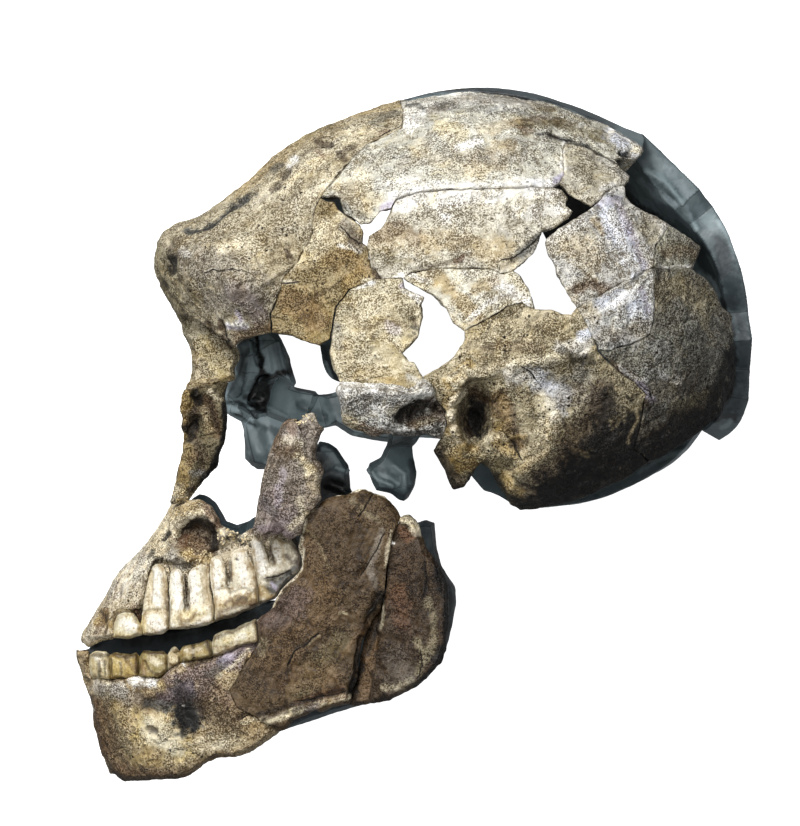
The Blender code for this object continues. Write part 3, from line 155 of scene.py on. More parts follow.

# What is painted over it, one stroke a row: colour, strength, reach in pixels, and the points of the line
# that it follows in pixels of the photo. Besides stains, the rows paint light and shade: the black, umber,
# dark grey and dark slate rows in holes, hollows and gaps, along edges that turn from the light and under
# the lower back are painted shade, and some white, blue-white and light slate rows on ridges and rims are
# painted highlights. drawn() reads these rows and those of the tables below.
PAINT = {
    # dark grey and black rows along the groove of the temporal line, are painted shade.
    # frontal_bone: the black and umber rows in the brow hole near 171,265 and in the small hollows, and
    # the
    "frontal_bone": """
        golden 0.5 9 160,226 200,203 243,186 262,172 300,140 350,112 402,104
        cream 0.6 12 258,200 290,178 330,150 372,128
        cream 0.5 18 240,240 262,262
        ivory 0.5 9 297,206 315,194 334,179
        warm_grey 0.75 26 196,262 225,270 262,300
        warm_grey 0.7 24 215,300 250,312
        mauve 0.35 14 236,290 262,318
        olive 0.7 13 158,252 168,290 184,320
        drab 0.7 16 196,345 214,372
        tan 0.6 12 194,352 200,376
        golden 0.55 6 192,385 210,383 233,377
        umber 0.6 9 181,244 174,256 171,267
        black 0.9 8 171,262 170,271
        black 0.7 4 163,283 167,288
        dark_grey 0.95 5.5 188,232 200,231 211,226 220,221 226,214 234,207 246,200
        dark_grey 0.7 5 246,200 256,195
        umber 0.85 5.5 317,143 331,146
        umber 0.8 5 339,154 345,160
        umber 0.7 4 343,152 356,148
        dark_grey 0.7 5 273,170 280,166
        umber 0.85 5 285,176 290,172
        umber 0.8 5 273,192 279,186
        umber 0.5 4 262,202 268,198
        olive 0.55 5 304,137 316,131 332,126
        dark_grey 0.55 5 372,124 385,119 398,113
        rust 0.6 4 318,152 324,158
        rust 0.5 3 380,134 388,132
        white 0.95 5 290,167 296,160
        white 0.7 4 255,161 262,156
        white 0.9 5 230,325 240,324 247,326
        lilac 0.9 4 237,313 242,320
        lilac 0.6 4 228,327 246,328
        umber 0.8 5 206,326 214,330 222,328
        umber 0.85 5 221,323 225,338 230,346
        brown 0.7 9 238,338 256,332 270,326
        umber 0.5 5 288,244 290,262
        umber 0.75 4 288,253 291,258
        umber 0.5 4 186,318 182,308
        white 0.4 6 182,250 190,254
        black 0.6 2.4 190,231 200,230 211,225 220,220 227,213 236,205
        olive 0.5 5 176,270 188,286 198,304
        umber 0.5 3 178,272 190,290
        ivory 0.5 7 224,250 240,244
        white 0.8 3 384,204 390,206
        yellow 0.45 13 204,342 214,356 222,370
    """,
    "sphenoid_plate": """
        cream 0.75 20 296,258 326,234 345,225
        golden 0.5 24 292,300 315,312 322,330
        brown 0.65 20 290,300 312,306 318,322
        brown 0.65 13 335,262 352,258 364,268
        golden 0.35 14 330,262 352,255 362,276 350,285
        umber 0.4 3 296,306 308,300 322,296 338,284 352,270
        warm_grey 0.7 9 346,226 356,240 360,248
        umber 0.6 4 350,232 354,242 362,246
        white 0.6 3 340,246 352,248 360,254
        ivory 0.6 3 284,283 296,283
        umber 0.8 5 376,272 380,280
        ivory 0.7 4 364,282 372,282
        olive 0.5 8 320,340 331,330
    """,
    # parietal_upper: the black row at 620,154 and the umber row at 325,200 lie in hollows and are painted
    # shade.
    "parietal_upper": """
        white 0.75 12 396,200 440,192 500,190 548,186
        white 0.5 14 400,118 440,104 480,98 520,103
        cream 0.6 14 360,175 372,200
        tan 0.5 14 348,190 362,208
        sand 0.5 12 420,150 440,165 480,175
        yellow 0.4 10 442,128 454,130 462,137
        ivory 0.6 8 450,140 456,150
        golden 0.4 11 476,158 492,152 506,148
        tan 0.5 12 470,170 500,165
        warm_grey 0.75 7 430,112 470,100 505,100 548,110
        grey 0.6 7 440,106 480,110 520,112 560,122
        brown 0.6 7 512,126 530,123 550,122 572,127
        tan 0.5 8 480,132 500,127 518,124
        olive 0.6 8 520,130 560,126 600,138 612,150
        dark_grey 0.75 4 548,136 560,140 568,144
        umber 0.8 3 549,136 556,138
        black 0.8 1.6 535,136 546,134 556,138 566,142
        black 0.9 1.4 566,142 576,145 585,147 595,153 604,158
        blue_white 0.95 11 610,136 624,144 638,153
        black 0.8 1.6 612,131 626,139 640,149
        white 0.95 8 405,118 413,124
        white 0.9 5 404,128 410,134
        dark_grey 0.8 4 408,107 416,105 424,110
        white 0.9 6 457,150 468,146 480,143
        white 1.0 9 612,136 622,142 634,150 640,156
        blue_white 0.8 6 612,140 626,150
        dark_grey 0.7 3 616,133 630,141 641,151
        black 0.95 4.5 620,154 627,155
        dark_grey 0.8 4 611,161 618,164
        lilac 0.7 5 554,184 562,177
        lilac 0.7 5 384,210 392,204
        rust 0.4 4 520,130 530,133
        umber 0.75 4 325,200 332,200 338,201
        dark_grey 0.6 5 345,206 352,214 364,217
        warm_grey 0.45 8 400,166 430,160 470,160 520,160
        white 0.5 7 392,186 416,182
        drab 0.5 9 590,128 606,140
        white 0.8 3 563,145 562,158 560,168
    """,
    "parietal_middle": """
        white 0.7 14 400,202 450,198 500,194 545,192
        white 0.5 14 520,215 556,210
        tan 0.6 20 380,240 420,246
        brown 0.55 15 378,236 400,232 414,240
        olive 0.5 10 376,258 400,262
        golden 0.35 14 430,240 470,246 510,250
        rust 0.7 4 456,262 462,258
        umber 0.6 4 420,268 436,266 460,262
        tan 0.5 12 480,255 510,262
        white 0.5 8 444,218 452,222
        grey 0.7 8 520,254 534,246 545,236
        dark_grey 0.65 5 512,262 524,252 540,240
        white 0.8 5 556,212 568,212
        white 0.7 4 392,282 402,276
        umber 0.5 4 372,258 376,268
    """,
    "parietal_strip": """
        golden 0.65 10 440,280 460,300 475,318
        tan 0.5 10 415,276 440,276
        white 0.85 10 496,284 508,290 524,300
        white 0.75 4 468,322 485,305 505,296
        white 0.7 4 410,275 420,280 430,282
        golden 0.5 8 475,290 495,282
        umber 0.5 3 488,312 494,308
        ivory 0.6 6 452,320 462,328
    """,
    "parietal_rear_wedge": """
        olive 0.4 12 570,158 590,170
        drab 0.5 14 575,165 600,185
        grey 0.5 6 600,160 618,172
        white 0.6 4 562,146 561,160 562,172
        black 0.9 1.8 562,144 574,145 584,148 594,154 606,160 616,167
        white 0.5 5 600,190 612,188
        dark_grey 0.5 5 606,192 622,188
    """,
    # parietal_back: the blue-white, white and lilac rows of the band down its back are partly pale bone
    # and
    # partly a painted highlight.
    "parietal_back": """
        tan 0.6 18 560,245 580,250 590,262
        golden 0.5 6 594,222 600,232
        white 0.55 8 552,240 566,232 580,224
        blue_white 0.8 13 602,205 612,225 626,250 634,270 638,290
        white 0.75 8 610,215 622,245 632,270
        lilac 0.5 6 600,205 616,202 640,262 650,280
        brown 0.8 8 574,290 590,284 602,290
        umber 0.5 4 582,286 592,284
        drab 0.6 10 640,225 652,240
        grey 0.4 8 630,212 645,222
        dark_grey 0.6 3 604,196 616,200 624,206
        tan 0.5 7 560,290 572,300
    """,
    "parietal_back_lower": """
        blue_white 0.65 14 600,300 630,300 642,315
        white 0.6 9 596,320 610,308 632,292
        tan 0.6 10 586,310 592,318
        warm_grey 0.7 12 604,335 625,335 645,325
        white 0.6 3 602,293 616,287 629,280
        lilac 0.5 5 640,290 646,312
        dark_grey 0.6 5 598,348 615,346 634,344
    """,
    "parietal_corner": """
        olive 0.5 12 660,250 684,246
        brown 0.5 10 665,255 690,252
        white 0.6 3 657,268 672,269 690,266
        grey 0.4 5 670,234 690,246
    """,
    "temporal_squama": """
        cream 0.5 24 365,320 395,330
        tan 0.4 12 345,345 350,375
        golden 0.35 10 360,372 400,378
        umber 0.85 3.5 413,319 416,326
        dark_grey 0.7 3.5 411,328 418,330
        white 0.8 4 358,288 367,284 374,284
        lilac 0.9 4 402,286 412,290 424,296
        white 0.7 4 404,292 416,299 423,303
        lilac 0.4 7 390,326 396,330
        umber 0.5 4 334,322 340,328
        dark_grey 0.5 3 400,280 406,290
        white 0.6 5 410,376 420,384
        grey 0.4 8 336,330 340,345
    """,
    # painted shade, and the grey, blue-white and cream rows over the mastoid are partly a painted
    # highlight.
    # temporal_bone: the black and umber rows towards the lower back and in and round the ear opening are
    "temporal_bone": """
        sand 0.75 20 470,345 510,325 560,318 588,310
        sand 0.6 12 450,358 480,352 530,340
        umber 0.45 5 526,326 536,329
        umber 0.45 4 510,344 520,340
        brown 0.45 8 482,350 500,346 540,350
        blue_white 0.85 7 580,337 588,333
        white 0.5 10 560,350 585,345
        cream 0.75 7 469,373 486,373 500,367 521,363 543,361 562,358
        grey 0.6 16 530,376 560,382 584,378
        blue_white 0.55 17 540,384 556,394 558,404
        white 0.35 12 512,376 530,380
        warm_grey 0.6 16 560,400 590,396 600,410
        cream 0.6 12 540,398 552,412 540,430
        golden 0.75 13 496,402 504,420 500,440 516,450
        brown 0.6 10 500,398 512,428 520,446
        golden 0.7 9 448,384 460,372 468,366
        cream 0.8 5 449,380 462,370 467,374 455,386
        umber 0.6 3 450,376 458,372
        golden 0.65 8 450,395 447,412 452,430 462,446 474,450
        ivory 0.65 4.5 464,391 456,398 451,405 450,415 453,430 458,441
        umber 0.9 13 474,392 480,404 482,420
        black 1.0 17 476,410 475,426
        black 1.0 13 475,414 474,430
        umber 0.7 6 463,404 462,420 468,436
        cream 0.6 4 486,440 496,434 506,438
        olive 0.75 18 460,462 476,470 510,470
        umber 0.75 16 440,452 450,474 456,484
        black 0.75 8 438,452 448,478 456,490
        black 0.8 8 470,478 480,466 486,462
        golden 0.6 9 452,452 462,466 470,462
        drab 0.5 14 520,475 540,460 556,446
        umber 0.85 24 530,496 570,486 600,470 640,458
        umber 0.8 26 548,476 570,450 592,420 600,396
        umber 0.6 6 512,408 514,420 515,446
        umber 0.6 8 484,394 492,404 494,414
        black 0.5 5 596,345 604,356 612,366
        white 0.6 4 602,342 608,350 618,354
        black 0.85 8 494,478 506,494 518,506
        golden 0.55 7 506,476 510,488 520,492
        umber 0.5 12 590,420 610,436
        golden 0.4 3 500,438 515,437 524,436
        black 0.6 4 511,442 518,452
        black 0.7 6 560,352 574,360 590,362
        umber 0.8 34 556,490 594,466 630,440
        black 0.95 30 556,490 590,466 620,442 642,422
        black 0.75 16 588,444 602,418 610,396
        black 0.95 21 530,508 562,502 604,484 650,460
        black 1.0 24 548,496 585,478 620,458 646,440
        tan 0.45 1.8 634,404 636,418 630,430 626,442
        sand 0.5 2.4 520,452 532,444 548,438 560,424
        tan 0.5 6 512,470 530,462 546,452
    """,
    # occipital_bone: the black and umber rows along its lower and right edges are painted shade.
    "occipital_bone": """
        warm_grey 0.7 20 630,300 660,290 690,290
        olive 0.6 16 650,300 680,285 706,300
        drab 0.5 14 664,285 690,300 716,330
        grey 0.6 14 640,345 664,350 650,370
        brown 0.6 10 604,366 620,372 636,384
        umber 0.8 6 604,364 614,370 628,380
        umber 0.7 6 626,384 640,394 646,406
        lilac 0.65 5 628,386 640,384 650,400
        white 0.5 3 618,366 630,378 644,380
        umber 0.7 26 700,400 680,424 650,440
        umber 0.5 18 640,400 668,388 692,380
        grey 0.5 10 714,322 720,340 716,352
        dark_grey 0.55 22 690,340 700,370 690,400
        olive 0.6 10 672,408 690,402 704,396
        warm_grey 0.5 8 722,300 730,320
        black 0.5 5 722,330 732,340
        white 0.35 5 660,374 676,380
        black 0.6 18 650,418 680,414 704,402
        umber 0.8 34 640,458 672,444 706,426
        black 0.95 30 630,462 668,446 704,428
        black 1.0 17 740,356 738,385 730,410 704,440
        black 0.8 10 708,402 718,382 728,358
        black 1.0 18 736,352 733,382 722,410 698,436
        black 1.0 24 640,456 672,442 702,424
        cream 0.5 1.8 638,408 640,418 634,430 629,440
        sand 0.4 1.8 630,444 632,451 642,456
    """,
    # are painted shade.
    # zygomatic_process: the black, umber and brown rows in the hollow near 420,412 and along its lower
    # edge
    "zygomatic_process": """
        white 0.75 13 345,390 370,392 400,388 425,386
        grey 0.65 7 352,408 372,404 392,400
        white 0.6 7 372,412 386,408
        ivory 0.85 7 344,416 352,424 358,430
        brown 0.75 8 360,428 376,432 390,436
        olive 0.7 6 389,412 397,408
        umber 0.9 10 402,418 412,412 426,406 436,404
        brown 0.75 9 414,424 430,418 442,412
        black 0.85 5 398,418 408,409 420,402
        black 0.8 5 396,434 416,434 438,430
        drab 0.5 5 420,424 434,420
        black 0.8 7 406,417 420,411 436,408
        white 0.8 6 352,390 380,388 410,387
        dark_grey 0.6 4 362,399 370,396
        dark_grey 0.5 4 350,394 354,397
    """,
    # nasal_process: the black and umber rows in its hollows and along its inner edge are painted shade.
    "nasal_process": """
        golden 0.65 9 186,392 184,410 184,436
        golden 0.45 10 188,448 184,476 180,492
        black 0.95 7 196,394 200,400 205,408
        umber 0.8 8 196,410 192,424 194,440
        black 0.85 7 196,420 190,430 190,440
        tan 0.75 6 203,408 210,420 212,432
        brown 0.7 6 208,400 216,416 218,436
        cream 0.6 3 211,392 216,398 222,400
        umber 0.8 5 211,402 214,414 218,428
        black 0.95 5 224,404 226,424 222,444 214,464 205,480
        umber 0.6 8 200,445 205,460 202,470
        grey 0.6 6 194,474 204,474
        cream 0.6 8 180,490 176,500 188,496
        umber 0.7 3 188,494 192,486
        umber 0.6 3 179,502 184,506
        brown 0.5 6 196,452 190,462
    """,
    # maxilla: the black rows round the sinus opening and in the pits are painted shade.
    "maxilla": """
        cream 0.5 24 130,570 150,545 165,520
        white 0.4 16 120,590 140,560
        golden 0.5 9 172,512 188,506 200,508
        rust 0.75 8 206,508 214,516 218,526
        brown 0.8 8 240,524 250,530 262,532
        brown 1.0 23 194,538 202,548
        umber 0.9 15 196,527 208,531 214,540
        black 0.85 7 182,530 192,521 204,519 214,530 216,544
        golden 0.7 9 184,556 198,562 210,560
        umber 0.7 3 192,566 198,560 206,566
        rust 0.5 6 180,546 186,536
        cream 0.8 4 176,536 180,524 190,516 204,512
        warm_grey 0.6 8 172,550 178,560 186,565
        grey 0.5 8 170,556 184,566
        black 0.95 4 164,538 168,532
        black 0.85 3.5 156,559 162,558
        black 0.8 3 150,556 154,552
        umber 0.8 4 152,574 154,566 157,562
        umber 0.7 3 162,562 164,572
        tan 0.8 5 152,572 150,590
        golden 0.85 7 98,620 104,612 108,624
        brown 0.7 5 98,634 104,618 106,610
        umber 0.8 3 102,612 108,618 106,632
        umber 0.9 5 136,612 142,610 139,620
        rust 0.6 5 134,606 140,616
        tan 0.5 3 110,604 120,586 136,564 148,548
        umber 0.7 1.4 122,587 121,600
        brown 0.7 1.6 115,598 117,586 122,576
        umber 0.6 1.4 128,602 131,592 136,584
        brown 0.6 1.8 104,606 110,598
        brown 0.5 2 140,604 142,590 146,580
        brown 0.5 1.6 128,578 138,566 150,548
        tan 0.5 8 118,606 130,602
        umber 0.7 8 222,536 232,530 244,540
        cream 0.85 3 220,530 228,538 224,548
        cream 0.85 3 234,528 240,536 248,534
        black 0.9 3 226,534 230,540
        black 0.9 3 238,532 243,543
        black 0.85 3 248,540 252,546
        ivory 0.7 4 247,536 256,544
        tan 0.7 5 204,574 208,600
        umber 0.7 3 170,584 170,616
        umber 0.8 3 186,574 188,590 187,610
        brown 0.85 7 288,548 294,556 298,564
        black 0.9 5 294,540 300,545
    """,
    # mandible_body: the black and umber rows along its lower edge are painted shade under the jaw.
    "mandible_body": """
        mauve 0.75 14 172,680 200,674 230,660
        lilac 0.55 7 222,662 236,654 252,644
        mauve 0.7 7 226,668 240,656 258,640
        white 0.5 12 100,686 120,688
        warm_grey 0.6 12 98,690 120,694 140,698
        ivory 0.6 8 97,672 108,680
        white 1.0 9 134,680 142,680 154,682
        olive 0.6 22 110,710 112,740 130,760
        brown 0.6 16 100,712 106,745
        umber 0.8 8 92,700 96,725 104,750
        black 0.8 8 110,766 130,776 165,778 195,772
        umber 0.7 10 120,768 160,772 190,764
        umber 0.7 8 204,758 224,748
        tan 0.8 30 140,728 170,744 190,750
        yellow 0.75 24 150,724 166,734 178,742
        cream 0.9 19 154,722 168,732 176,740
        golden 0.4 9 136,716 126,722 118,706
        golden 0.4 8 150,752 158,760 136,756
        golden 0.5 8 198,730 190,740
        yellow 0.6 6 166,690 162,684
        umber 0.8 15 148,702 162,700 174,690
        dark_grey 1.0 20 184,692 186,706 190,722
        dark_grey 1.0 14 180,690 192,700 192,722
        black 0.9 16 183,694 189,720
        dark_grey 0.7 9 206,692 212,676 224,664
        umber 0.7 9 150,702 160,698 172,700
        umber 0.6 12 204,700 216,708 232,700
        mauve 0.45 13 168,696 188,688 208,688 224,698
        black 0.6 13 182,694 188,708 190,724
        brown 0.6 15 102,712 108,738 120,764
        brown 0.55 12 128,772 160,778 192,774 224,752
        umber 0.75 6 118,776 150,782 192,778 212,764
        ivory 0.55 10 150,736 166,742 178,748
        dark_grey 0.75 9 150,704 168,706
        umber 0.6 14 204,704 220,716 236,724
        brown 0.5 18 214,690 240,706 256,696
        sand 0.55 12 200,742 222,740 240,738
        ivory 0.5 5 218,744 226,742
        cream 0.6 3 219,676 232,666 250,648
        umber 0.6 5 150,726 154,729
        warm_grey 0.9 3.6 154,730 155,731
        white 0.95 2.4 184,663 185,665
        white 0.7 1.2 184,704 186,705
        white 0.8 2 92,706 94,710
        umber 0.6 5 110,676 128,674 134,668
        umber 0.8 1.6 112,674 113,682
        umber 0.8 1.6 102,674 101,682
        umber 0.7 1.6 124,676 126,683
        umber 0.8 2 140,676 146,680
        umber 0.6 4 192,664 206,660 216,656
        cream 0.6 4 244,722 262,716 276,710
        umber 0.8 3 240,716 256,708 276,706
    """,
    # ramus_plate: the black rows in the groove from 382,592 down to 352,690 are painted shade, and the
    # thin
    # tan row beside the crack at 320,634 is a painted highlight.
    "ramus_plate": """
        brown 0.4 30 300,560 320,600 280,660
        umber 0.4 26 330,520 350,560 366,590
        umber 0.4 18 250,680 290,676
        mauve 0.25 18 262,622 280,612 300,600
        olive 0.35 16 320,660 300,690 340,640
        brown 0.5 14 310,668 290,684 330,672
        ivory 0.85 3 312,502 326,494 344,492 362,489 378,494 392,500
        ivory 0.75 3.4 320,500 312,508 305,516 303,530 300,546
        ivory 0.8 3.4 302,550 303,568 294,577 284,587 274,604 258,619
        lilac 0.5 2.4 301,556 302,568 292,578 282,588
        warm_grey 0.45 5 382,530 376,548 370,566 376,584
        cream 0.35 2.2 392,530 388,548 386,566
        black 0.85 7 382,592 376,604 370,616
        black 0.75 6 360,645 358,662 352,676
        black 0.95 7 360,674 352,690
        umber 0.7 8 366,622 360,644
        sand 0.5 1.4 339,612 343,611 348,612
        black 0.75 1.5 319,632 309,641 298,646 292,655 289,663
        tan 0.35 1.3 320,634 310,643
        brown 0.6 3 341,656 352,642 362,632
        rust 0.35 5 298,701 320,694 342,688
        black 0.7 3 300,702 320,695 340,688 352,690
        cream 0.8 3.4 300,709 318,703 338,697 350,695
        cream 0.8 4.5 262,721 276,717 292,711 302,708
        black 0.6 3 258,713 276,709 296,703
        umber 0.8 2.2 264,718 276,714 288,711
        umber 0.8 2 294,710 306,705 318,702
        rust 0.6 2.4 322,701 334,698 346,695
        umber 0.7 2 330,700 340,696
        mauve 0.5 3 306,709 318,704
        drab 0.35 6 264,640 262,652
        tan 0.3 2 300,520 318,540 330,566
        umber 0.5 3 340,500 356,520 372,534
        drab 0.3 4 352,500 366,512 378,520
    """,
    # at 393,542 is a painted glint.
    # ramus_rear_piece: the black rows along its right and lower edges are painted shade, and the white
    # spot
    "ramus_rear_piece": """
        cream 0.7 6 404,519 412,523 417,531
        rust 0.4 6 402,530 406,538 412,536
        umber 0.7 18 405,560 400,600 410,625
        rust 0.3 12 398,590 402,620
        warm_grey 0.2 16 396,656 408,668 400,680
        sand 0.3 4 384,686 400,685 412,678
        drab 0.5 5 418,640 426,656 418,672
        drab 0.4 6 428,600 434,620 432,650
        black 0.8 3 424,564 426,580 424,594
        black 0.6 3 434,558 440,580
        black 0.9 10 440,570 448,600 448,640 436,668 420,684
        black 0.7 8 384,700 400,698 416,690
        brown 0.6 8 374,640 368,664 364,696
        black 0.9 6 360,664 356,680 354,692
        black 0.6 4 380,618 374,636 368,654
        white 0.95 1.6 392,541 394,543
        cream 0.4 1.5 385,600 384,616 382,628
        umber 0.7 5 420,545 430,570
    """,
    "coronoid_piece": """
        mauve 0.5 20 272,500 284,520
        lilac 0.25 6 284,470 282,490 280,505
        mauve 0.6 7 262,528 278,532 290,534
        rust 0.35 6 286,422 294,428 292,436
        brown 0.6 9 276,440 280,452 294,450
        umber 0.55 5 278,434 283,428
        ivory 0.3 5 306,418 312,414 316,420
        ivory 0.35 7 288,440 300,442
        ivory 0.65 7 304,462 310,470
        cream 0.5 7 300,456 316,474
        umber 0.4 3 300,428 308,427 316,429 321,427
        umber 0.75 3 297,420 302,430
        cream 0.55 6 300,500 306,514 292,526
        umber 0.4 9 292,486 298,500
        dark_grey 0.45 7 266,500 274,512
        tan 0.4 8 312,480 318,490
    """,
    # Upper teeth: the white rows down the roots are painted highlights on their crests, and the umber,
    # black
    # and dark grey rows between the roots and under the ramus are painted shade.
    "upper_canine": """
        yellow 0.45 5 118,634 130,636
        white 0.6 8 124,622 132,626
        tan 0.5 3 116,618 128,615
    """,
    "upper_premolar": """
        tan 0.6 4 150,572 152,600
        tan 0.55 4 165,575 166,606
        umber 0.6 2.5 168,590 168,612
        white 0.6 6 158,570 158,600
        yellow 0.75 4 143,618 144,630
        white 0.6 8 155,620 160,626
        tan 0.5 2.5 146,612 156,609 166,612
        umber 0.5 2.5 148,634 164,634
    """,
    "upper_first_molar": """
        white 0.6 6 178,575 179,605
        white 0.6 5 194,572 195,600
        umber 0.75 2.6 186,575 188,592 188,610
        tan 0.75 6 205,572 208,602
        yellow 0.55 8 180,618 204,614
        white 0.55 5 200,622 208,618
        brown 0.55 2.5 180,617 184,624 196,614
        umber 0.5 2.5 174,630 200,626 212,624
    """,
    "upper_second_molar": """
        white 0.55 5 217,562 219,592
        white 0.55 6 240,556 246,584
        umber 0.8 2.6 230,562 231,580
        umber 0.6 2.5 226,566 230,592
        black 0.95 2.2 236.5,558 237.5,559
        tan 0.6 4 250,560 255,580
        golden 0.7 8 220,606 236,600 252,598
        brown 0.7 4 222,612 238,604 254,602
        brown 0.6 3 238,596 244,600 248,594
        ivory 0.35 3 222,600 230,595 240,592 252,590
        brown 0.8 2.4 226,604 232,599 236,602
        umber 0.8 1.8 238,600 243,597 247,599
        umber 0.85 5 220,618 240,612 257,606
        umber 0.5 2.5 232,592 244,588 254,590
    """,
    "upper_third_molar": """
        white 0.55 6 258,544 264,568
        umber 0.85 3 268,545 272,556 274,562
        tan 0.55 5 280,545 285,560
        white 0.5 4 276,546 280,560
        dark_grey 0.95 9 272,589 284,578 298,566
        black 0.6 4 268,580 276,576 290,572
        white 0.4 4 264,572 276,569
        umber 0.7 4 294,546 299,556 299,566
        lilac 0.5 3 272,584 276,588
        golden 0.6 7 262,590 270,598
        umber 0.85 5 256,604 268,602 278,596
        umber 0.8 5 286,556 292,562
    """,
    "lower_incisor": """
        golden 0.5 4 94,660 96,674
        white 0.5 4 98,658 102,664
        umber 0.8 1.8 99,662 100,676
        umber 0.7 1.6 105,660 106,674
        umber 0.7 2.5 93,655 108,655
    """,
    "lower_canine": """
        golden 0.35 7 118,662 130,664
        brown 0.6 3 126,658 132,664 136,670
        umber 0.8 3 110,653 122,656 136,655
        yellow 0.6 4 114,661 120,664
        umber 0.8 1.6 112,658 113,674
        umber 0.7 1.4 121,662 122,674
        umber 0.8 1.6 137,656 137,672
    """,
    "lower_premolar": """
        rust 0.6 3 143,664 146,673
        golden 0.35 6 146,660 150,672
        ivory 0.6 5 152,658 160,662
        umber 0.8 3 141,651 152,653 164,652
        umber 0.7 1.6 146,660 150,668 158,673
    """,
    "lower_second_premolar": """
        umber 0.5 2.5 168,650 178,650
        tan 0.5 3 170,658 172,662
    """,
    "lower_first_molar": """
        golden 0.6 5 184,652 206,650
        umber 0.7 2.5 194,646 195,657
        umber 0.7 3 208,644 212,654
        umber 0.8 3 180,645 194,643 208,640
        ivory 0.5 4 188,650 202,648
    """,
    "lower_second_molar": """
        yellow 0.4 6 226,642 250,632
        umber 0.6 3 216,638 240,628 256,621
        brown 0.6 2.4 218,646 220,650
        brown 0.5 2.4 224,645 228,648
        white 0.5 5 236,638 246,634
        umber 0.5 3 257,622 259,634
        tan 0.5 5 222,648 240,642 256,636
    """,
    # bone and the grey and seen through openings, and the light slate rows painted highlights on raised
    # lines.
    # far_braincase: the black and dark slate rows are painted shade along rims that turn away, between the
    "far_braincase": """
        light_slate 0.35 8 655,160 690,195 712,225
        dark_slate 0.6 12 625,190 640,212 670,228
        light_slate 0.7 4 646,171 658,176 667,184 680,200 690,216 697,230
        light_slate 0.5 6 648,186 660,198 676,206
        light_slate 0.45 4 640,180 652,192 668,200
        dark_slate 0.7 8 676,226 690,240 704,250
        black 0.8 11 700,252 708,268 716,290
        dark_slate 0.85 16 722,245 728,270 735,300
        light_slate 0.45 4 720,222 728,236 735,252
        light_slate 0.25 2 720,308 733,312 746,311
        dark_slate 0.7 13 740,300 745,322 748,350 746,384 740,412
        light_slate 0.4 4 700,272 714,282 718,296
        black 1.0 9 622,182 628,198 642,210 658,220
        black 1.0 22 562,186 580,202 576,218 556,232
        dark_slate 0.8 8 716,405 726,412 735,416
        light_slate 0.5 3 722,428 730,424 733,414
        dark_slate 0.6 8 742,380 746,396
        dark_slate 0.6 8 640,468 660,458 680,448
        light_slate 0.5 3 640,472 664,458 688,450
        dark_slate 0.85 9 400,95 430,87 460,85 500,89 540,97 580,110 612,122
        black 0.9 3.4 400,99 430,91 460,89 500,94 540,103 575,115 612,130
        black 0.9 3.4 722,300 727,315 733,335 735,360 734,385 728,400 716,418
        black 0.95 4.5 717,420 726,415 734,417
        dark_slate 0.5 10 740,376 738,396 728,410
        black 0.85 4 320,344 326,358 336,380
        dark_slate 0.7 8 326,350 332,370
        light_slate 0.5 2 326,362 330,374 333,382
    """,
    # far_orbit_wall: the black and dark slate rows are painted shade in its hollow, along its cut edge and
    # under its lower lobe, and the light slate rows painted highlights on its ridges.
    "far_orbit_wall": """
        slate 0.5 9 232,386 240,390 250,384
        light_slate 0.6 5 243,346 240,362 236,378
        light_slate 0.7 2 249,350 247,364 250,376 244,388
        dark_slate 0.8 2.4 244,350 244,366 241,382 236,396
        dark_slate 0.7 2 238,352 234,370 230,384
        slate 0.7 13 272,342 279,356 284,368
        light_slate 0.6 4 268,344 272,358 274,368
        dark_slate 0.8 5 284,340 290,354 292,370
        black 0.9 2.4 280,334 287,344 292,358 294,372
        black 1.0 3.6 255,336 258,350 262,360 261,372
        black 0.9 5 262,374 256,380 252,392
        black 1.0 10 266,382 262,394 256,404
        black 1.0 6 272,380 268,398 262,410
        black 1.0 4 290,373 284,372 277,374 271,380 268,392 265,404
        black 0.8 5 246,397 254,401 258,411
        light_slate 0.8 2.2 252,397 256,404
        black 0.85 2.6 228,404 238,402 248,408 256,416
        light_slate 0.8 2.2 230,410 240,411 250,417 258,420
        black 0.8 2.6 234,415 246,421 254,426
        slate 0.6 20 256,440 262,456
        light_slate 0.5 6 250,430 254,442 260,450
        dark_slate 0.6 5 256,424 266,428 276,432
        dark_slate 0.7 7 254,463 266,468 280,450
        dark_slate 0.6 3 245,436 246,452 252,462
    """,
    # dark slate rows painted shade beside them and along its lower edge.
    # far_zygomatic_arch: the light slate rows are painted highlights on its front rims, and the black and
    "far_zygomatic_arch": """
        light_slate 0.8 2.2 269,402 270,390 276,379 284,376 290,381
        light_slate 0.9 2.0 266,407 275,411 286,417
        black 0.8 2.6 290,378 296,388 308,391 318,395 330,394
        slate 0.5 10 330,404 345,412
        dark_slate 0.5 6 300,404 322,418
        dark_slate 0.6 6 335,424 350,432
        black 0.6 5 360,438 400,440
    """,
    # far_pterygoid: the light slate rows are painted highlights on its edges, and the black and dark slate
    # rows painted shade below them.
    "far_pterygoid": """
        light_slate 0.5 3 370,470 378,480 392,486
        light_slate 0.4 6 384,462 396,470
        light_slate 0.5 2.4 394,466 404,474 404,486
        black 0.6 4 412,462 414,484 405,499
        dark_slate 0.7 6 384,490 400,496
        black 0.7 6 392,444 410,442
        light_slate 0.5 2.4 378,474 390,478 398,484
    """,
    # and along its right edge, and the light slate rows painted highlights on its edges.
    # far_mandible: the black rows are painted shade in the gap between the rows of teeth, behind the
    # coronoid
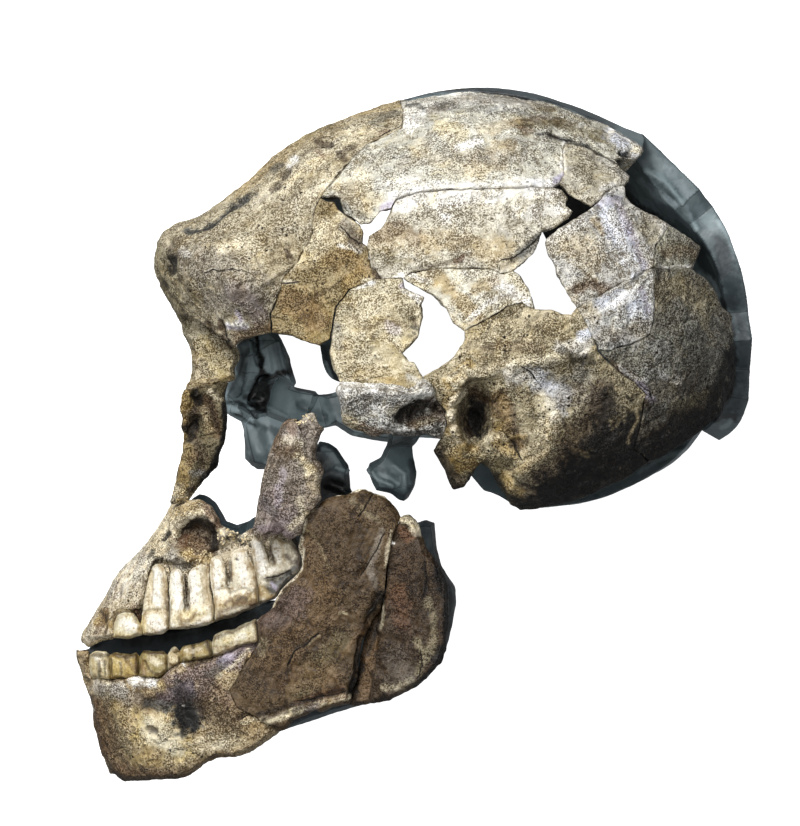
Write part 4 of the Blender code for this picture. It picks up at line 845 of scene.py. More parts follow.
    "far_mandible": """
        light_slate 0.5 4 452,590 458,596
        dark_slate 0.4 14 430,540 440,560
        slate 0.8 13 322,448 332,456 338,468
        light_slate 0.5 5 326,450 334,458 340,468
        black 0.9 4 315,444 318,456 322,466
        light_slate 0.7 2 336,468 346,472
        black 1.0 13 326,486 340,490 352,486
        black 0.6 3 344,456 350,470 352,486
        black 0.8 12 440,540 448,580 452,620 444,654
        slate 0.6 3 440,662 452,634 456,600
        slate 0.8 4 282,732 307,722 334,713 356,706
        black 0.8 10 130,642 170,634 210,626 250,616
    """,
}

# Narrow cracks: the points of the line that each follows.
CRACKS = {
    "frontal_bone": """
        207,274 214,271 224,272 234,270 241,271
        221,322 224,330 226,338 231,347
        330,184 342,172 356,158 367,147
        379,137 390,132 400,128 405,119
    """,
    "sphenoid_plate": """
        281,285 292,284 300,283
        342,228 350,238 360,244
    """,
    "parietal_middle": "500,262 514,258 528,248 540,238",
    "temporal_bone": """
        600,351 612,348 623,348 632,346
        520,366 530,372 536,380
        511,440 516,450 521,458
    """,
    "occipital_bone": """
        606,364 614,372 625,378 631,391 641,402 636,414 639,424 630,434 629,448
        638,384 648,392 652,404 646,412
        629,448 638,455 646,462
    """,
    "maxilla": "168,560 172,575",
    "ramus_plate": """
        372,494 366,506 359,516
        384,534 378,546 371,559 361,574
        318,633 305,645 296,650 289,664
        298,700 320,696 344,690
    """,
    "ramus_rear_piece": """
        425,560 426,578 424,594
        432,552 438,572 441,590
        421,650 423,664 418,676
    """,
    "coronoid_piece": "298,418 301,430",
    "mandible_body": """
        242,717 256,710 270,708
        150,670 166,662 182,656
    """,
    "zygomatic_process": "400,418 410,409 422,401",
    "upper_third_molar": "268,578 278,576 290,570",
}

# Shallow shapes: height in millimetres, which is negative for a hollow, reach in pixels, and the line.
FORMS = {
    "frontal_bone": """
        -1.6 9 171,263 170,271
        -0.8 5 163,283 167,288
        -0.8 5 190,232 211,226 226,214 246,200
        0.6 8 178,240 192,236 214,236 236,216
        -0.7 4 221,322 226,338 231,347
        -0.7 16 214,300 206,320
        0.7 6 192,386 212,383 233,377
        -0.5 4 206,326 216,330
        0.5 6 232,324 246,326
        -0.4 4 286,176 279,188
        -0.5 5 320,144 331,146
    """,
    "sphenoid_plate": """
        -0.6 4 350,232 358,244
        0.5 8 352,240 362,250
        -0.4 6 376,276 380,282
    """,
    "parietal_upper": """
        0.5 6 396,197 430,191 480,188 540,184
        -0.5 6 400,206 440,200 500,196
        -1.4 4 621,154 627,155
        0.6 7 614,138 638,152
        -0.5 2.6 540,136 552,135 566,142
        -0.8 4 322,200 338,201
        0.4 5 404,116 414,124
    """,
    "parietal_middle": """
        -0.6 6 512,262 540,240
        -0.4 5 420,268 460,262
    """,
    "parietal_back": """
        0.5 10 606,210 622,245 634,275
        -0.5 5 584,287 600,288
    """,
    "parietal_back_lower": "0.4 8 600,316 630,296",
    "temporal_squama": """
        -0.7 4 413,319 417,328
        0.4 5 402,288 424,300
    """,
    "temporal_bone": """
        0.9 7 469,374 486,373 500,367 543,361 566,357
        0.8 6 450,381 462,369 468,371
        -0.5 3 452,379 464,372
        0.7 5 464,391 452,404 450,416 454,432 462,444
        -0.9 7 500,396 512,430 520,450
        0.6 10 520,470 548,446 556,420
        -0.6 5 600,352 632,347
        0.5 4 498,438 524,436
    """,
    "occipital_bone": """
        -0.7 6 606,366 628,381
        0.7 6 630,386 648,400
        -0.6 5 636,410 630,446
        0.5 9 640,350 664,340 690,330
    """,
    "zygomatic_process": """
        -2.2 12 406,418 424,410 436,410
        0.8 8 345,390 380,390 425,388
        -0.5 6 352,406 376,402
    """,
    "nasal_process": """
        -2.4 7 197,396 204,406
        -1.8 7 196,420 190,436
        0.9 5 204,410 212,430
        -0.9 4 212,400 217,428
        0.8 5 186,392 184,430
        -0.8 6 202,448 204,466
    """,
    "maxilla": """
        -1.2 4 164,538 168,532
        -0.9 3.5 156,559 162,558
        -1.1 4 226,534 230,540
        -1.1 4 238,532 243,543
        -1.0 4 248,540 252,546
        -0.5 3 122,587 120,600
        -1.4 5 136,612 142,611 139,620
        0.8 5 176,538 180,524 192,515 206,512
        0.7 5 220,528 232,526 248,536
        -0.8 5 152,574 156,564
        -0.6 6 100,616 106,628
    """,
    "mandible_body": """
        -1.8 5 153,729 156,731
        0.6 8 134,680 154,682
        -0.5 6 112,676 132,668
        0.4 14 150,720 176,744
        -0.5 5 226,668 256,644
        -0.6 4 242,716 276,706
    """,
    "ramus_plate": """
        -1.4 8 378,598 370,618
        -1.6 7 360,676 354,686
        -1.0 7 362,640 358,664
        -0.5 5 382,535 371,559 361,574
        0.5 5 312,500 344,492 378,494
        -0.4 4 298,702 344,690
        0.5 6 350,530 330,600 300,660
    """,
    "ramus_rear_piece": """
        0.8 7 406,520 414,530
        -0.6 5 424,562 425,594
        0.5 8 392,600 386,660
        -0.5 6 412,600 414,640
    """,
    "coronoid_piece": """
        0.6 6 306,464 310,470
        -0.5 6 292,486 298,500
    """,
    "upper_premolar": """
        -0.7 3 152,572 151,602
        -0.5 2.6 145,611 166,610
    """,
    "upper_first_molar": """
        -1.0 3.5 186,572 188,610
        -0.5 2.6 190,612 192,628
        -0.6 5 205,572 208,602
    """,
    "upper_second_molar": """
        -0.9 3.5 229,560 231,588
        -0.5 2.6 236,598 238,616
    """,
    "upper_third_molar": """
        -1.2 3.5 268,544 274,564
        -0.9 6 272,582 288,574
    """,
    "lower_incisor": "-0.6 2.6 101,658 102,676",
    "lower_canine": "-0.4 2.6 124,656 124,672",
    "lower_first_molar": "-0.7 2.8 194,643 195,658",
    "lower_second_molar": """
        -0.6 2.8 234,632 238,648
        -0.4 2.4 222,640 224,650
    """,
    "far_braincase": """
        0.9 4 646,171 667,184 680,200 697,230
        0.8 5 648,186 660,198 676,206
        -0.8 6 660,190 684,214
        -0.7 6 640,176 650,190
    """,
    "far_orbit_wall": """
        1.8 8 245,346 242,364 234,390
        -3.0 4 254,338 256,352 260,364
        0.8 3 265,342 270,370
        0.8 3 277,342 284,370
        -4.0 10 265,384 257,400
        -1.2 3 228,404 248,408 256,416
        0.9 3 230,410 240,411 250,417
        -1.0 3 234,415 246,421
        1.0 12 254,434 258,450
    """,
    "far_zygomatic_arch": """
        0.9 3 266,407 275,411 286,417
        -0.8 6 300,404 322,418
    """,
    "far_mandible": """
        1.0 3 336,467 346,471
        -1.4 7 330,484 344,489
    """,
    "far_pterygoid": """
        0.9 3 370,470 378,480 392,486
        0.8 3 394,466 404,474 404,486
    """,
}

# Outlines moved a little: across and down in pixels, reach, and the line.
SHIFTS = {
    "parietal_upper": "0 3 12 412,97 440,91 480,88 520,92 560,101 590,111",
    "far_orbit_wall": """
        -5 0 9 227,380 226,408
        5 11 11 288,376 292,374
    """,
    "ramus_plate": "0 -6 13 298,722 312,716",
}

# How rough, pitted and mottled each material slot is, and which way its streaks run.
FINISHES = {
    "pale_bone": dict(
        relief=1.0, roughness=0.62, pits=1.0, cream=0.42, mottle=0.95, streak=0.8, turn=14.0
    ),
    "brown_bone": dict(
        relief=1.1, roughness=0.56, pits=1.0, cream=0.26, mottle=1.15, streak=0.8, turn=30.0
    ),
    "white_grey_bone": dict(
        relief=1.3, roughness=0.66, pits=1.4, cream=0.5, mottle=1.3, streak=0.4, turn=-8.0
    ),
    "dark_bone": dict(
        relief=0.8, roughness=0.5, pits=0.5, cream=0.16, mottle=1.15, streak=1.5, turn=62.0
    ),
    "tooth": dict(relief=0.35, roughness=0.4),
    "grey_mirror_half": dict(relief=0.3, roughness=0.42),
}

# How strongly each piece is mottled. The rest take 1.
GRIT = {
    "frontal_bone": 1.3,
    "sphenoid_plate": 1.25,
    "zygomatic_process": 1.7,
    "coronoid_piece": 1.6,
    "nasal_process": 1.7,
    "mandible_body": 1.35,
    "temporal_bone": 1.45,
    "occipital_bone": 2.1,
    "maxilla": 1.35,
    "ramus_plate": 0.8,
    "ramus_rear_piece": 0.9,
    "parietal_back_lower": 1.3,
    "parietal_upper": 0.85,
    "parietal_middle": 0.8,
    "parietal_strip": 0.8,
    "parietal_rear_wedge": 0.8,
    "temporal_squama": 0.9,
    "parietal_corner": 1.5,
}

# Places where a piece is less mottled: how much less, reach, and the line.
CALM = {
    "mandible_body": """
        0.6 22 150,724 166,734 178,742
        0.4 16 184,696 189,720
        0.3 34 112,735 140,765 190,765 240,745
    """,
    "frontal_bone": "0.3 24 215,300 250,312",
    "temporal_bone": """
        0.4 16 470,345 520,328 570,316
        0.5 22 560,486 600,462 640,436
    """,
    "occipital_bone": "0.4 24 640,452 700,424",
    "parietal_upper": "0.35 12 396,200 440,192 500,190 548,186",
    "parietal_middle": "0.35 12 400,202 450,198 500,194 545,192",
}

# How far walls are moved out towards their neighbours over the gaps of the CAD.
SEAM_CLOSING_MM = 0.145

# Rounds of evening for a piece's rims and for its surface, and the share of the drift that the grey takes.
BONE_ROUNDS = (4, 14)
GREY_ROUNDS = (24, 40)
GREY_WANDER = 0.35

# How high a normal has to point for its surface to be made fine, carved, and on the grey half painted.
FINE_FROM = -0.25
CARVED_FROM = -0.1
PAINTED_FROM = -0.55
HEIGHT_FADE = 0.4

# Surfaces that lean less than this are moved out less than walls are.
WALL_LEAN = 0.3

BOX_MARGIN = 2e-5

SLOT_OF = {part["node"]: part["material_slot"] for part in frame["record"]["subparts"]}

BRAINCASE_NODES = (
    "frontal_bone",
    "sphenoid_plate",
    "parietal_upper",
    "parietal_middle",
    "parietal_strip",
    "parietal_rear_wedge",
    "parietal_back",
    "parietal_back_lower",
    "parietal_corner",
    "temporal_squama",
    "temporal_bone",
    "occipital_bone",
)
UPPER_TEETH = (
    "upper_canine",
    "upper_premolar",
    "upper_first_molar",
    "upper_second_molar",
    "upper_third_molar",
)
LOWER_TEETH = (
    "lower_incisor",
    "lower_canine",
    "lower_premolar",
    "lower_second_premolar",
    "lower_first_molar",
    "lower_second_molar",
)
LOWER_JAW_NODES = ("mandible_body", "ramus_plate", "ramus_rear_piece", "coronoid_piece")
MIRROR_NODES = (
    "far_braincase",
    "far_nasal_process",
    "far_maxilla",
    "far_mandible",
    "far_zygomatic_arch",
    "far_orbit_wall",
    "far_pterygoid",
)

# Noise: a fixed set of directions, and the factors that pick one for each cell of space and each seed.
NOISE_SEED = 7
DIRECTION_COUNT = 1024
CELL_FACTORS = (73856093, 19349663, 83492791)
SEED_STEPS = (3.17, 5.71, 1.93)
NOISE_GAIN = 1.7

# What stands for very far and very short, where a number has to stand for them.
FAR_OFF = 1e9
TINY = 1e-12


def drawn(table, node):
    """The rows of a node in one of the tables: each row's colour and numbers, and then its line."""
    for row in table.get(node, "").split("\n"):
        items = row.split()
        line = [tuple(float(value) for value in item.split(",")) for item in items if "," in item]
        heads = [item if item in COLOURS else float(item) for item in items if "," not in item]
        if line:
            yield *heads, line


def linear(colour):
    """An 8-bit display colour as the linear light that the shader works in."""
    share = np.array(colour, dtype=float) / 255
    low = share / 12.92
    high = ((share + 0.055) / 1.055) ** 2.4
    return np.where(share <= 0.04045, low, high)


def to_skull(world):
    """Points in metres as they lie, in millimetres of the upright skull seen from its left."""
    return (world * MM_PER_M - LAY_SHIFT) @ LAY_ROWS


def to_world(skull):
    """The way back from to_skull."""
    return (skull @ LAY_ROWS.T + LAY_SHIFT) / MM_PER_M


def to_pixels(skull):
    """Where points of the skull fall in the photo."""
    across = skull[:, 0] / PIXEL_MM + CENTRE_PIXEL[0]
    down = CENTRE_PIXEL[1] - skull[:, 1] / PIXEL_MM
    return np.stack([across, down], axis=1)


def smooth_step(value):
    """0 at 0 and below, 1 at 1 and above, and an even turn between them."""
    held = np.clip(value, 0, 1)
    return held * held * (3 - 2 * held)


def noise_table():
    """Unit vectors for the noise, from a fixed seed."""
    source = np.random.default_rng(NOISE_SEED)
    vectors = source.normal(size=(DIRECTION_COUNT, 3))
    return vectors / np.linalg.norm(vectors, axis=1)[:, None]


NOISE_VECTORS = noise_table()


def noise(points, size, seed):
    """Even noise of about -1 to 1 at each point, with one rise every size millimetres."""
    place = points / size + seed * np.array(SEED_STEPS)
    cell = np.floor(place).astype(np.int64)
    inside = place - cell
    turn = inside**3 * (inside * (inside * 6 - 15) + 10)
    total = np.zeros(len(points))
    for corner in range(8):
        step = np.array([corner & 1, (corner >> 1) & 1, (corner >> 2) & 1])
        spot = (cell + step) * np.array(CELL_FACTORS)
        mixed = spot[:, 0] ^ spot[:, 1] ^ spot[:, 2]
        vector = NOISE_VECTORS[mixed % DIRECTION_COUNT]
        slope = np.einsum("ij,ij->i", inside - step, vector)
        share = np.where(step == 1, turn, 1 - turn).prod(axis=1)
        total += slope * share
    return total * NOISE_GAIN


def distance_to_line(places, line):
    """How far each place is from a line of points, and the same with a sign for the side."""
    nearest = np.full(len(places), FAR_OFF)
    signed = np.full(len(places), FAR_OFF)
    ends = [np.array(point) for point in line]
    for start, end in zip(ends[:-1], ends[1:]):
        along = end - start
        offset = places - start
        share = np.clip(offset @ along / (along @ along), 0, 1)
        gap = offset - share[:, None] * along
        reach = np.hypot(gap[:, 0], gap[:, 1])
        side = np.sign(offset[:, 0] * along[1] - offset[:, 1] * along[0])
        closer = reach < nearest
        nearest = np.where(closer, reach, nearest)
        signed = np.where(closer, reach * np.where(side == 0, 1, side), signed)
    return nearest, signed


# Finer meshes made from the CAD's own: where its points meet, what counts as a rim, and how far the paint
# of a rim reaches from it, in rounds of neighbours.
MEET_DISTANCE = 1e-6
SHARP_TURN_DEG = 38.0
SPLIT_ROUNDS = 12
RIM_ROUNDS = 3
RIM_FALL = 0.72

# Each round of evening moves a point towards its neighbours by the first share and back by the second.
EVEN_STEP = 0.6
BACK_STEP = 0.62


def cad_surface(node):
    """A CAD node's points in skull millimetres and its triangles, with points that meet made one."""
    if node not in frame["nodes"]:
        raise RuntimeError(f"the frame has no node {node}")
    source = frame["nodes"][node].data
    work = bmesh.new()
    work.from_mesh(source)
    bmesh.ops.remove_doubles(work, verts=work.verts, dist=MEET_DISTANCE)
    bmesh.ops.triangulate(work, faces=work.faces)
    points = np.array([vertex.co[:] for vertex in work.verts])
    faces = np.array([[vertex.index for vertex in face.verts] for face in work.faces])
    work.free()
    return to_skull(points), faces


def edge_table(faces, count):
    """Every edge once, as a sorted list of keys, and which edge each side of each triangle is."""
    sides = np.concatenate([faces[:, [0, 1]], faces[:, [1, 2]], faces[:, [2, 0]]])
    sides = np.sort(sides, axis=1)
    keys, which = np.unique(sides[:, 0] * count + sides[:, 1], return_inverse=True)
    return keys, which.reshape(3, -1)


def edge_ends(faces, count):
    """The two points of every edge."""
    keys, _ = edge_table(faces, count)
    return keys // count, keys % count


def unit(vectors):
    """The same directions, each of length 1."""
    return vectors / np.maximum(np.linalg.norm(vectors, axis=1), TINY)[:, None]


def face_normals(points, faces):
    """Each triangle's normal, as long as twice its area."""
    first = points[faces[:, 1]] - points[faces[:, 0]]
    second = points[faces[:, 2]] - points[faces[:, 0]]
    return np.cross(first, second)


def point_normals(points, faces):
    """The even normal at each point."""
    flat = face_normals(points, faces)
    total = np.zeros_like(points)
    for corner in range(3):
        for axis in range(3):
            total[:, axis] += np.bincount(faces[:, corner], flat[:, axis], len(points))
    return unit(total)


def side_by_side(*columns):
    """Triangles or pairs from columns of point numbers."""
    return np.stack(columns, axis=1)


def sharp_edges(points, faces):
    """The edges where the surface turns sharply, as pairs of points."""
    count = len(points)
    keys, which = edge_table(faces, count)
    flat = unit(face_normals(points, faces))
    owner = np.tile(np.arange(len(faces)), 3)
    order = np.argsort(which.ravel(), kind="stable")
    edge_of = which.ravel()[order]
    owner = owner[order]
    starts = np.searchsorted(edge_of, np.arange(len(keys)))
    last = np.minimum(starts + 1, len(owner) - 1)
    turn = np.einsum("ij,ij->i", flat[owner[starts]], flat[owner[last]])
    sharp = turn < np.cos(radians(SHARP_TURN_DEG))
    return side_by_side(keys[sharp] // count, keys[sharp] % count)


def split_triangles(faces, fine, cuts):
    """Cuts each triangle at the new points in the middle of its sides. A cut of -1 is none."""
    number = (cuts >= 0).sum(axis=1)
    whole = number == 0
    parts = [faces[whole]]
    marks = [fine[whole]]
    for turn in range(3):
        order = [turn, (turn + 1) % 3, (turn + 2) % 3]
        ring = faces[:, order]
        cut_ring = cuts[:, order]
        single = (number == 1) & (cut_ring[:, 0] >= 0)
        a, b, c = ring[single].T
        m = cut_ring[single, 0]
        parts += [side_by_side(a, m, c), side_by_side(m, b, c)]
        marks += [fine[single]] * 2
        double = (number == 2) & (cut_ring[:, 2] < 0)
        a, b, c = ring[double].T
        m, n = cut_ring[double, :2].T
        parts += [side_by_side(m, b, n), side_by_side(a, m, n), side_by_side(a, n, c)]
        marks += [fine[double]] * 3
    triple = number == 3
    a, b, c = faces[triple].T
    m, n, k = cuts[triple].T
    parts += [side_by_side(*row) for row in ((a, m, k), (m, b, n), (k, n, c), (m, n, k))]
    marks += [fine[triple]] * 4
    return np.concatenate(parts), np.concatenate(marks)


def refined(points, faces, sharp, fine, shown_edge, hidden_edge):
    """Splits edges until none is longer than it may be. fine marks the triangles that look up."""
    for _ in range(SPLIT_ROUNDS):
        count = len(points)
        keys, which = edge_table(faces, count)
        start = keys // count
        end = keys % count
        length = np.linalg.norm(points[start] - points[end], axis=1)
        near = np.bincount(which.ravel(), np.tile(fine, 3), len(keys)) > 0
        split = length > np.where(near, shown_edge, hidden_edge)
        if not split.any():
            break
        middle = np.full(len(keys), -1)
        middle[split] = count + np.arange(split.sum())
        points = np.concatenate([points, (points[start[split]] + points[end[split]]) / 2])
        place = np.searchsorted(keys, np.sort(sharp, axis=1) @ np.array([count, 1]))
        cut = split[place]
        new = middle[place[cut]]
        halves = [side_by_side(sharp[cut, side], new) for side in (0, 1)]
        sharp = np.concatenate([sharp[~cut], *halves])
        faces, fine = split_triangles(faces, fine, middle[which].T)
    return points, faces, sharp


def neighbour_mean(points, start, end):
    """The middle of each point's neighbours along the edges from start to end."""
    count = len(points)
    number = np.bincount(start, minlength=count) + np.bincount(end, minlength=count)
    total = np.empty_like(points)
    for axis in range(3):
        total[:, axis] = np.bincount(start, points[end, axis], count)
        total[:, axis] += np.bincount(end, points[start, axis], count)
    return total / np.maximum(number, 1)[:, None]


def evened(points, start, end, free, rounds, back):
    """Moves free points towards the mean of their neighbours and then part of the way back."""
    for _ in range(rounds):
        for share in (EVEN_STEP, -back):
            points = points + free[:, None] * share * (neighbour_mean(points, start, end) - points)
    return points


def relaxed(points, faces, held, rounds, back=BACK_STEP):
    """Evens the surface. Held points stay, and the step back keeps it from shrinking."""
    start, end = edge_ends(faces, len(points))
    return evened(points, start, end, ~held, rounds, back)


def eased_rims(points, sharp, rounds, back=BACK_STEP):
    """Evens the sharp edges along their own run, so that drawn corners turn softly."""
    inside_run = np.bincount(sharp.ravel(), minlength=len(points)) == 2
    return evened(points, sharp[:, 0], sharp[:, 1], inside_run, rounds, back)


def spread_rim(faces, count, sharp):
    """1 on the sharp edges, falling off away from them."""
    start, end = edge_ends(faces, count)
    rim = np.zeros(count)
    rim[sharp.ravel()] = 1
    for _ in range(RIM_ROUNDS):
        further = rim.copy()
        np.maximum.at(further, start, rim[end] * RIM_FALL)
        np.maximum.at(further, end, rim[start] * RIM_FALL)
        rim = further
    return rim


# Relief and paint on a piece's points. A noise's last two numbers are its size in millimetres and its
# seed, and the one before them, where there is one, is its share or its height in millimetres.
DRIFT = ((1.0, 4.2, 11), (0.75, 1.5, 21))
RELIEF = ((0.32, 13, 31), (0.17, 4.5, 32), (0.085, 1.9, 33))
STAIN_EDGE = ((0.32, 5.0, 41), (0.32, 1.6, 42), (0.18, 0.9, 43))
HOLLOW = (2.6, 34)
RAGGED = (1.6, 51)

# Small hollows in the bone: where their noise starts and how far it takes to be full.
HOLLOW_FROM = 0.42
HOLLOW_FADE = 0.3
HOLLOW_DEPTH_MM = 0.15

# How full strokes, shapes and soft spots are at their line. Over 1 they stay full for a while.
STAIN_FULL = 1.55
SHAPE_FULL = 1.15
SPOT_FULL = 1.4
STAIN_BOUND = 2.2
SHAPE_RAGGED = 0.15

# Cracks, in pixels of the photo, and the number that stands for no crack near.
CRACK_BOUND = 5.0
CRACK_FADE = 2.5
CRACK_HALF_WIDTH = 1.8
CRACK_DEPTH_MM = 0.14
NO_CRACK = 99.0


def wandered(points, amount):
    """All pieces share this drift, so that broken edges run unevenly and still fit each other."""
    drift = np.zeros_like(points)
    for axis in range(3):
        drift[:, axis] = sum(share * noise(points, size, seed + axis) for share, size, seed in DRIFT)
    return points + drift * amount


def shifted(node, points):
    """Moves the parts of outlines that SHIFTS names for this node."""
    moved = points.copy()
    places = to_pixels(points)
    for across, down, reach, line in drawn(SHIFTS, node):
        gap, _ = distance_to_line(places, line)
        share = smooth_step(SPOT_FULL * (1 - gap / reach))
        moved[:, 0] += across * PIXEL_MM * share
        moved[:, 1] -= down * PIXEL_MM * share
    return moved


def surface_relief(points, strength):
    """How far the bone rises or sinks at each point, in millimetres."""
    rise = sum(height * noise(points, size, seed) for height, size, seed in RELIEF)
    hollow = smooth_step((noise(points, *HOLLOW) - HOLLOW_FROM) / HOLLOW_FADE)
    return strength * (rise - HOLLOW_DEPTH_MM * hollow)


def drawn_relief(node, places, upward, ragged):
    """The shallow shapes drawn for this node, on the side that looks up."""
    rise = np.zeros(len(places))
    for height, reach, line in drawn(FORMS, node):
        gap, _ = distance_to_line(places, line)
        rise += height * smooth_step(SHAPE_FULL - gap / reach - SHAPE_RAGGED * ragged)
    return rise * upward


def painted_ground(node, points, places, taken):
    """The colour at each point: the piece's own, and its stains, painted shade and painted highlights over
    it where they are taken.
    """
    ground = np.tile(linear(GROUND[node]), (len(points), 1))
    torn = sum(share * noise(points, size, seed) for share, size, seed in STAIN_EDGE)
    for colour, strength, reach, line in drawn(PAINT, node):
        gap, _ = distance_to_line(places, line)
        near = gap < reach * STAIN_BOUND
        cover = strength * smooth_step(STAIN_FULL * (1 - gap[near] / reach - torn[near])) * taken[near]
        ground[near] += cover[:, None] * (linear(COLOURS[colour]) - ground[near])
    return ground


def calm_field(node, places):
    """How much of its mottling each point keeps."""
    kept = np.ones(len(places))
    for less, reach, line in drawn(CALM, node):
        gap, _ = distance_to_line(places, line)
        kept *= 1 - less * smooth_step(SPOT_FULL * (1 - gap / reach))
    return kept


def crack_fields(node, places):
    """The signed distance in pixels to the nearest crack, and how much of a crack is there."""
    nearest = np.full(len(places), NO_CRACK)
    signed = np.full(len(places), NO_CRACK)
    for (line,) in drawn(CRACKS, node):
        gap, side = distance_to_line(places, line)
        closer = gap < nearest
        nearest = np.where(closer, gap, nearest)
        signed = np.where(closer, side, signed)
    return signed, smooth_step((CRACK_BOUND - nearest) / CRACK_FADE)


def mesh_object(name, points, faces, material):
    """A smooth-shaded object at the origin whose points are given in metres."""
    mesh = bpy.data.meshes.new(name)
    mesh.vertices.add(len(points))
    mesh.vertices.foreach_set("co", points.astype(np.float32).ravel())
    mesh.loops.add(faces.size)
    mesh.loops.foreach_set("vertex_index", faces.astype(np.int32).ravel())
    mesh.polygons.add(len(faces))
    mesh.polygons.foreach_set("loop_start", np.arange(0, faces.size, 3, dtype=np.int32))
    mesh.update(calc_edges=True)
    mesh.shade_smooth()
    mesh.materials.append(material)
    piece = bpy.data.objects.new(name, mesh)
    bpy.context.scene.collection.objects.link(piece)
    return piece


def add_number(mesh, name, values):
    """One number for each point of the mesh."""
    attribute = mesh.attributes.new(name, "FLOAT", "POINT")
    attribute.data.foreach_set("value", values.astype(np.float32))


def add_colour(mesh, name, values):
    """One colour for each point of the mesh."""
    attribute = mesh.attributes.new(name, "FLOAT_COLOR", "POINT")
    full = np.concatenate([values, np.ones((len(values), 1))], axis=1)
    attribute.data.foreach_set("color", full.astype(np.float32).ravel())


def inside_box(points):
    """Keeps points within the box of the CAD."""
    low = np.array(CAD_BOUNDS[0]) + BOX_MARGIN
    high = np.array(CAD_BOUNDS[1]) - BOX_MARGIN
    return np.clip(points, low, high)


def finer_mesh(node, settings, grey):
    """The points, triangles and sharp edges of a CAD node's finer and softer copy."""
    dome = node == "far_braincase"
    coarser = 1.0
    shown = (settings.grey_edge if dome else settings.bone_edge) * MM_PER_M * coarser
    hidden = settings.hidden_edge * MM_PER_M * coarser
    points, faces = cad_surface(node)
    sharp = sharp_edges(points, faces)
    flat = face_normals(points, faces)
    upward = flat[:, 2] > FINE_FROM * np.linalg.norm(flat, axis=1)
    points, faces, sharp = refined(points, faces, sharp, upward, shown, hidden)
    held = np.zeros(len(points), dtype=bool)
    held[sharp.ravel()] = True
    back = 0.0 if dome else BACK_STEP
    rim_rounds, surface_rounds = GREY_ROUNDS if grey else BONE_ROUNDS
    points = eased_rims(shifted(node, points), sharp, rim_rounds, back)
    points = relaxed(points, faces, held, surface_rounds, back)
    return relaxed(points, faces, np.zeros_like(held), 1), faces, sharp


def build_surface(node, settings):
    """The finished surface that stands for one CAD node."""
    slot = SLOT_OF[node]
    grey = slot == "grey_mirror_half"
    tint = np.array(settings.grey_tint if grey else settings.bone_tint)
    points, faces, sharp = finer_mesh(node, settings, grey)
    count = len(points)
    places = to_pixels(points)
    normals = point_normals(points, faces)
    facing = smooth_step((normals[:, 2] - CARVED_FROM) / HEIGHT_FADE)
    painted = smooth_step((normals[:, 2] - PAINTED_FROM) / HEIGHT_FADE) if grey else np.ones(count)
    ground = painted_ground(node, points, places, painted)
    crack, crack_on = crack_fields(node, places)
    groove = smooth_step(1 - np.abs(crack) / CRACK_HALF_WIDTH) * crack_on * facing
    rise = surface_relief(points, FINISHES[slot]["relief"] * settings.relief)
    rise += drawn_relief(node, places, facing, noise(points, *RAGGED))
    rise -= CRACK_DEPTH_MM * groove
    outward = normals * np.array([1.0, 1.0, 0.0])
    outward /= np.maximum(np.linalg.norm(outward, axis=1), WALL_LEAN)[:, None]
    points = points + normals * rise[:, None] + outward * (0.0 if grey else SEAM_CLOSING_MM)
    points = wandered(points, settings.wander * MM_PER_M * (GREY_WANDER if grey else 1.0))
    piece = mesh_object(f"{node}_surface", inside_box(to_world(points)), faces, MATERIALS[slot])
    add_colour(piece.data, "ground", ground * tint)
    add_number(piece.data, "crack", crack)
    add_number(piece.data, "crack_on", crack_on)
    add_number(piece.data, "rim", spread_rim(faces, count, sharp))
    add_number(piece.data, "grit", np.full(count, GRIT.get(node, 1.0)))
    add_number(piece.data, "calm", calm_field(node, places))
    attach(piece, "root")
    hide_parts(node)
    return piece


# Materials. A tint, shade or light multiplies the colour under it. The rest are display colours.
WARM_TINT = (1.08, 0.99, 0.76)
COOL_TINT = (0.92, 0.96, 1.1)
BONE_SHADE = (0.24, 0.195, 0.135)
BONE_LIGHT = (1.6, 1.6, 1.62)
BONE_PALE = (252, 246, 228)
PIT_BROWN = (40, 30, 20)
HAIR_BROWN = (52, 40, 27)
CRACK_COLOUR = (20, 15, 11)
GRAIN_COLOUR = (222, 204, 160)
TOOTH_SHADE = (0.44, 0.33, 0.2)
TOOTH_LIGHT = (1.3, 1.3, 1.28)
TOOTH_PALE = (255, 252, 242)
TOOTH_CRACK = (30, 22, 15)
TOOTH_HAIR = (96, 72, 44)
GREY_SHADE = (0.5, 0.52, 0.55)
GREY_WORN = (168, 182, 186)
# The thin dark outline of painted shade along the grey's rims
GREY_RIM_SHADE = (14, 18, 20)
FLOOR_COLOUR = (244, 244, 243)
FLOOR_GLOW = (255, 255, 255)
SKY_COLOUR = (0.96, 0.98, 1.0)
NO_TINT = (1.0, 1.0, 1.0)

# Noise in the materials: size in millimetres, detail, roughness and distortion.
BLOTCH = (11.0, 3.0, 0.6, 0.6)
MOTTLE = (3.6, 3.0, 0.6, 0.8)
SPECK = (1.0, 2.0, 0.6, 0.5)
FINE_SPECK = (0.4, 2.0, 0.6)
PATCH = (7.0, 2.0, 0.5, 1.0)
HUE = (6.5, 3.0, 0.6, 0.8)
STREAK = (1.0, 4.0, 0.6, 0.5)
VEIN = (4.0, 2.0, 0.5, 1.5)
TOOTH_CLOUD = (2.4, 3.0, 0.6, 0.3)
TOOTH_SPECK = (0.7, 3.0, 0.7)
TOOTH_UPRIGHT = (1.0, 3.0, 0.6)
GREY_CLOUD = (11.0, 3.0, 0.55, 0.5)
GREY_GRAIN = (1.4, 3.0, 0.6)
MILLIMETRE = 1 / MM_PER_M


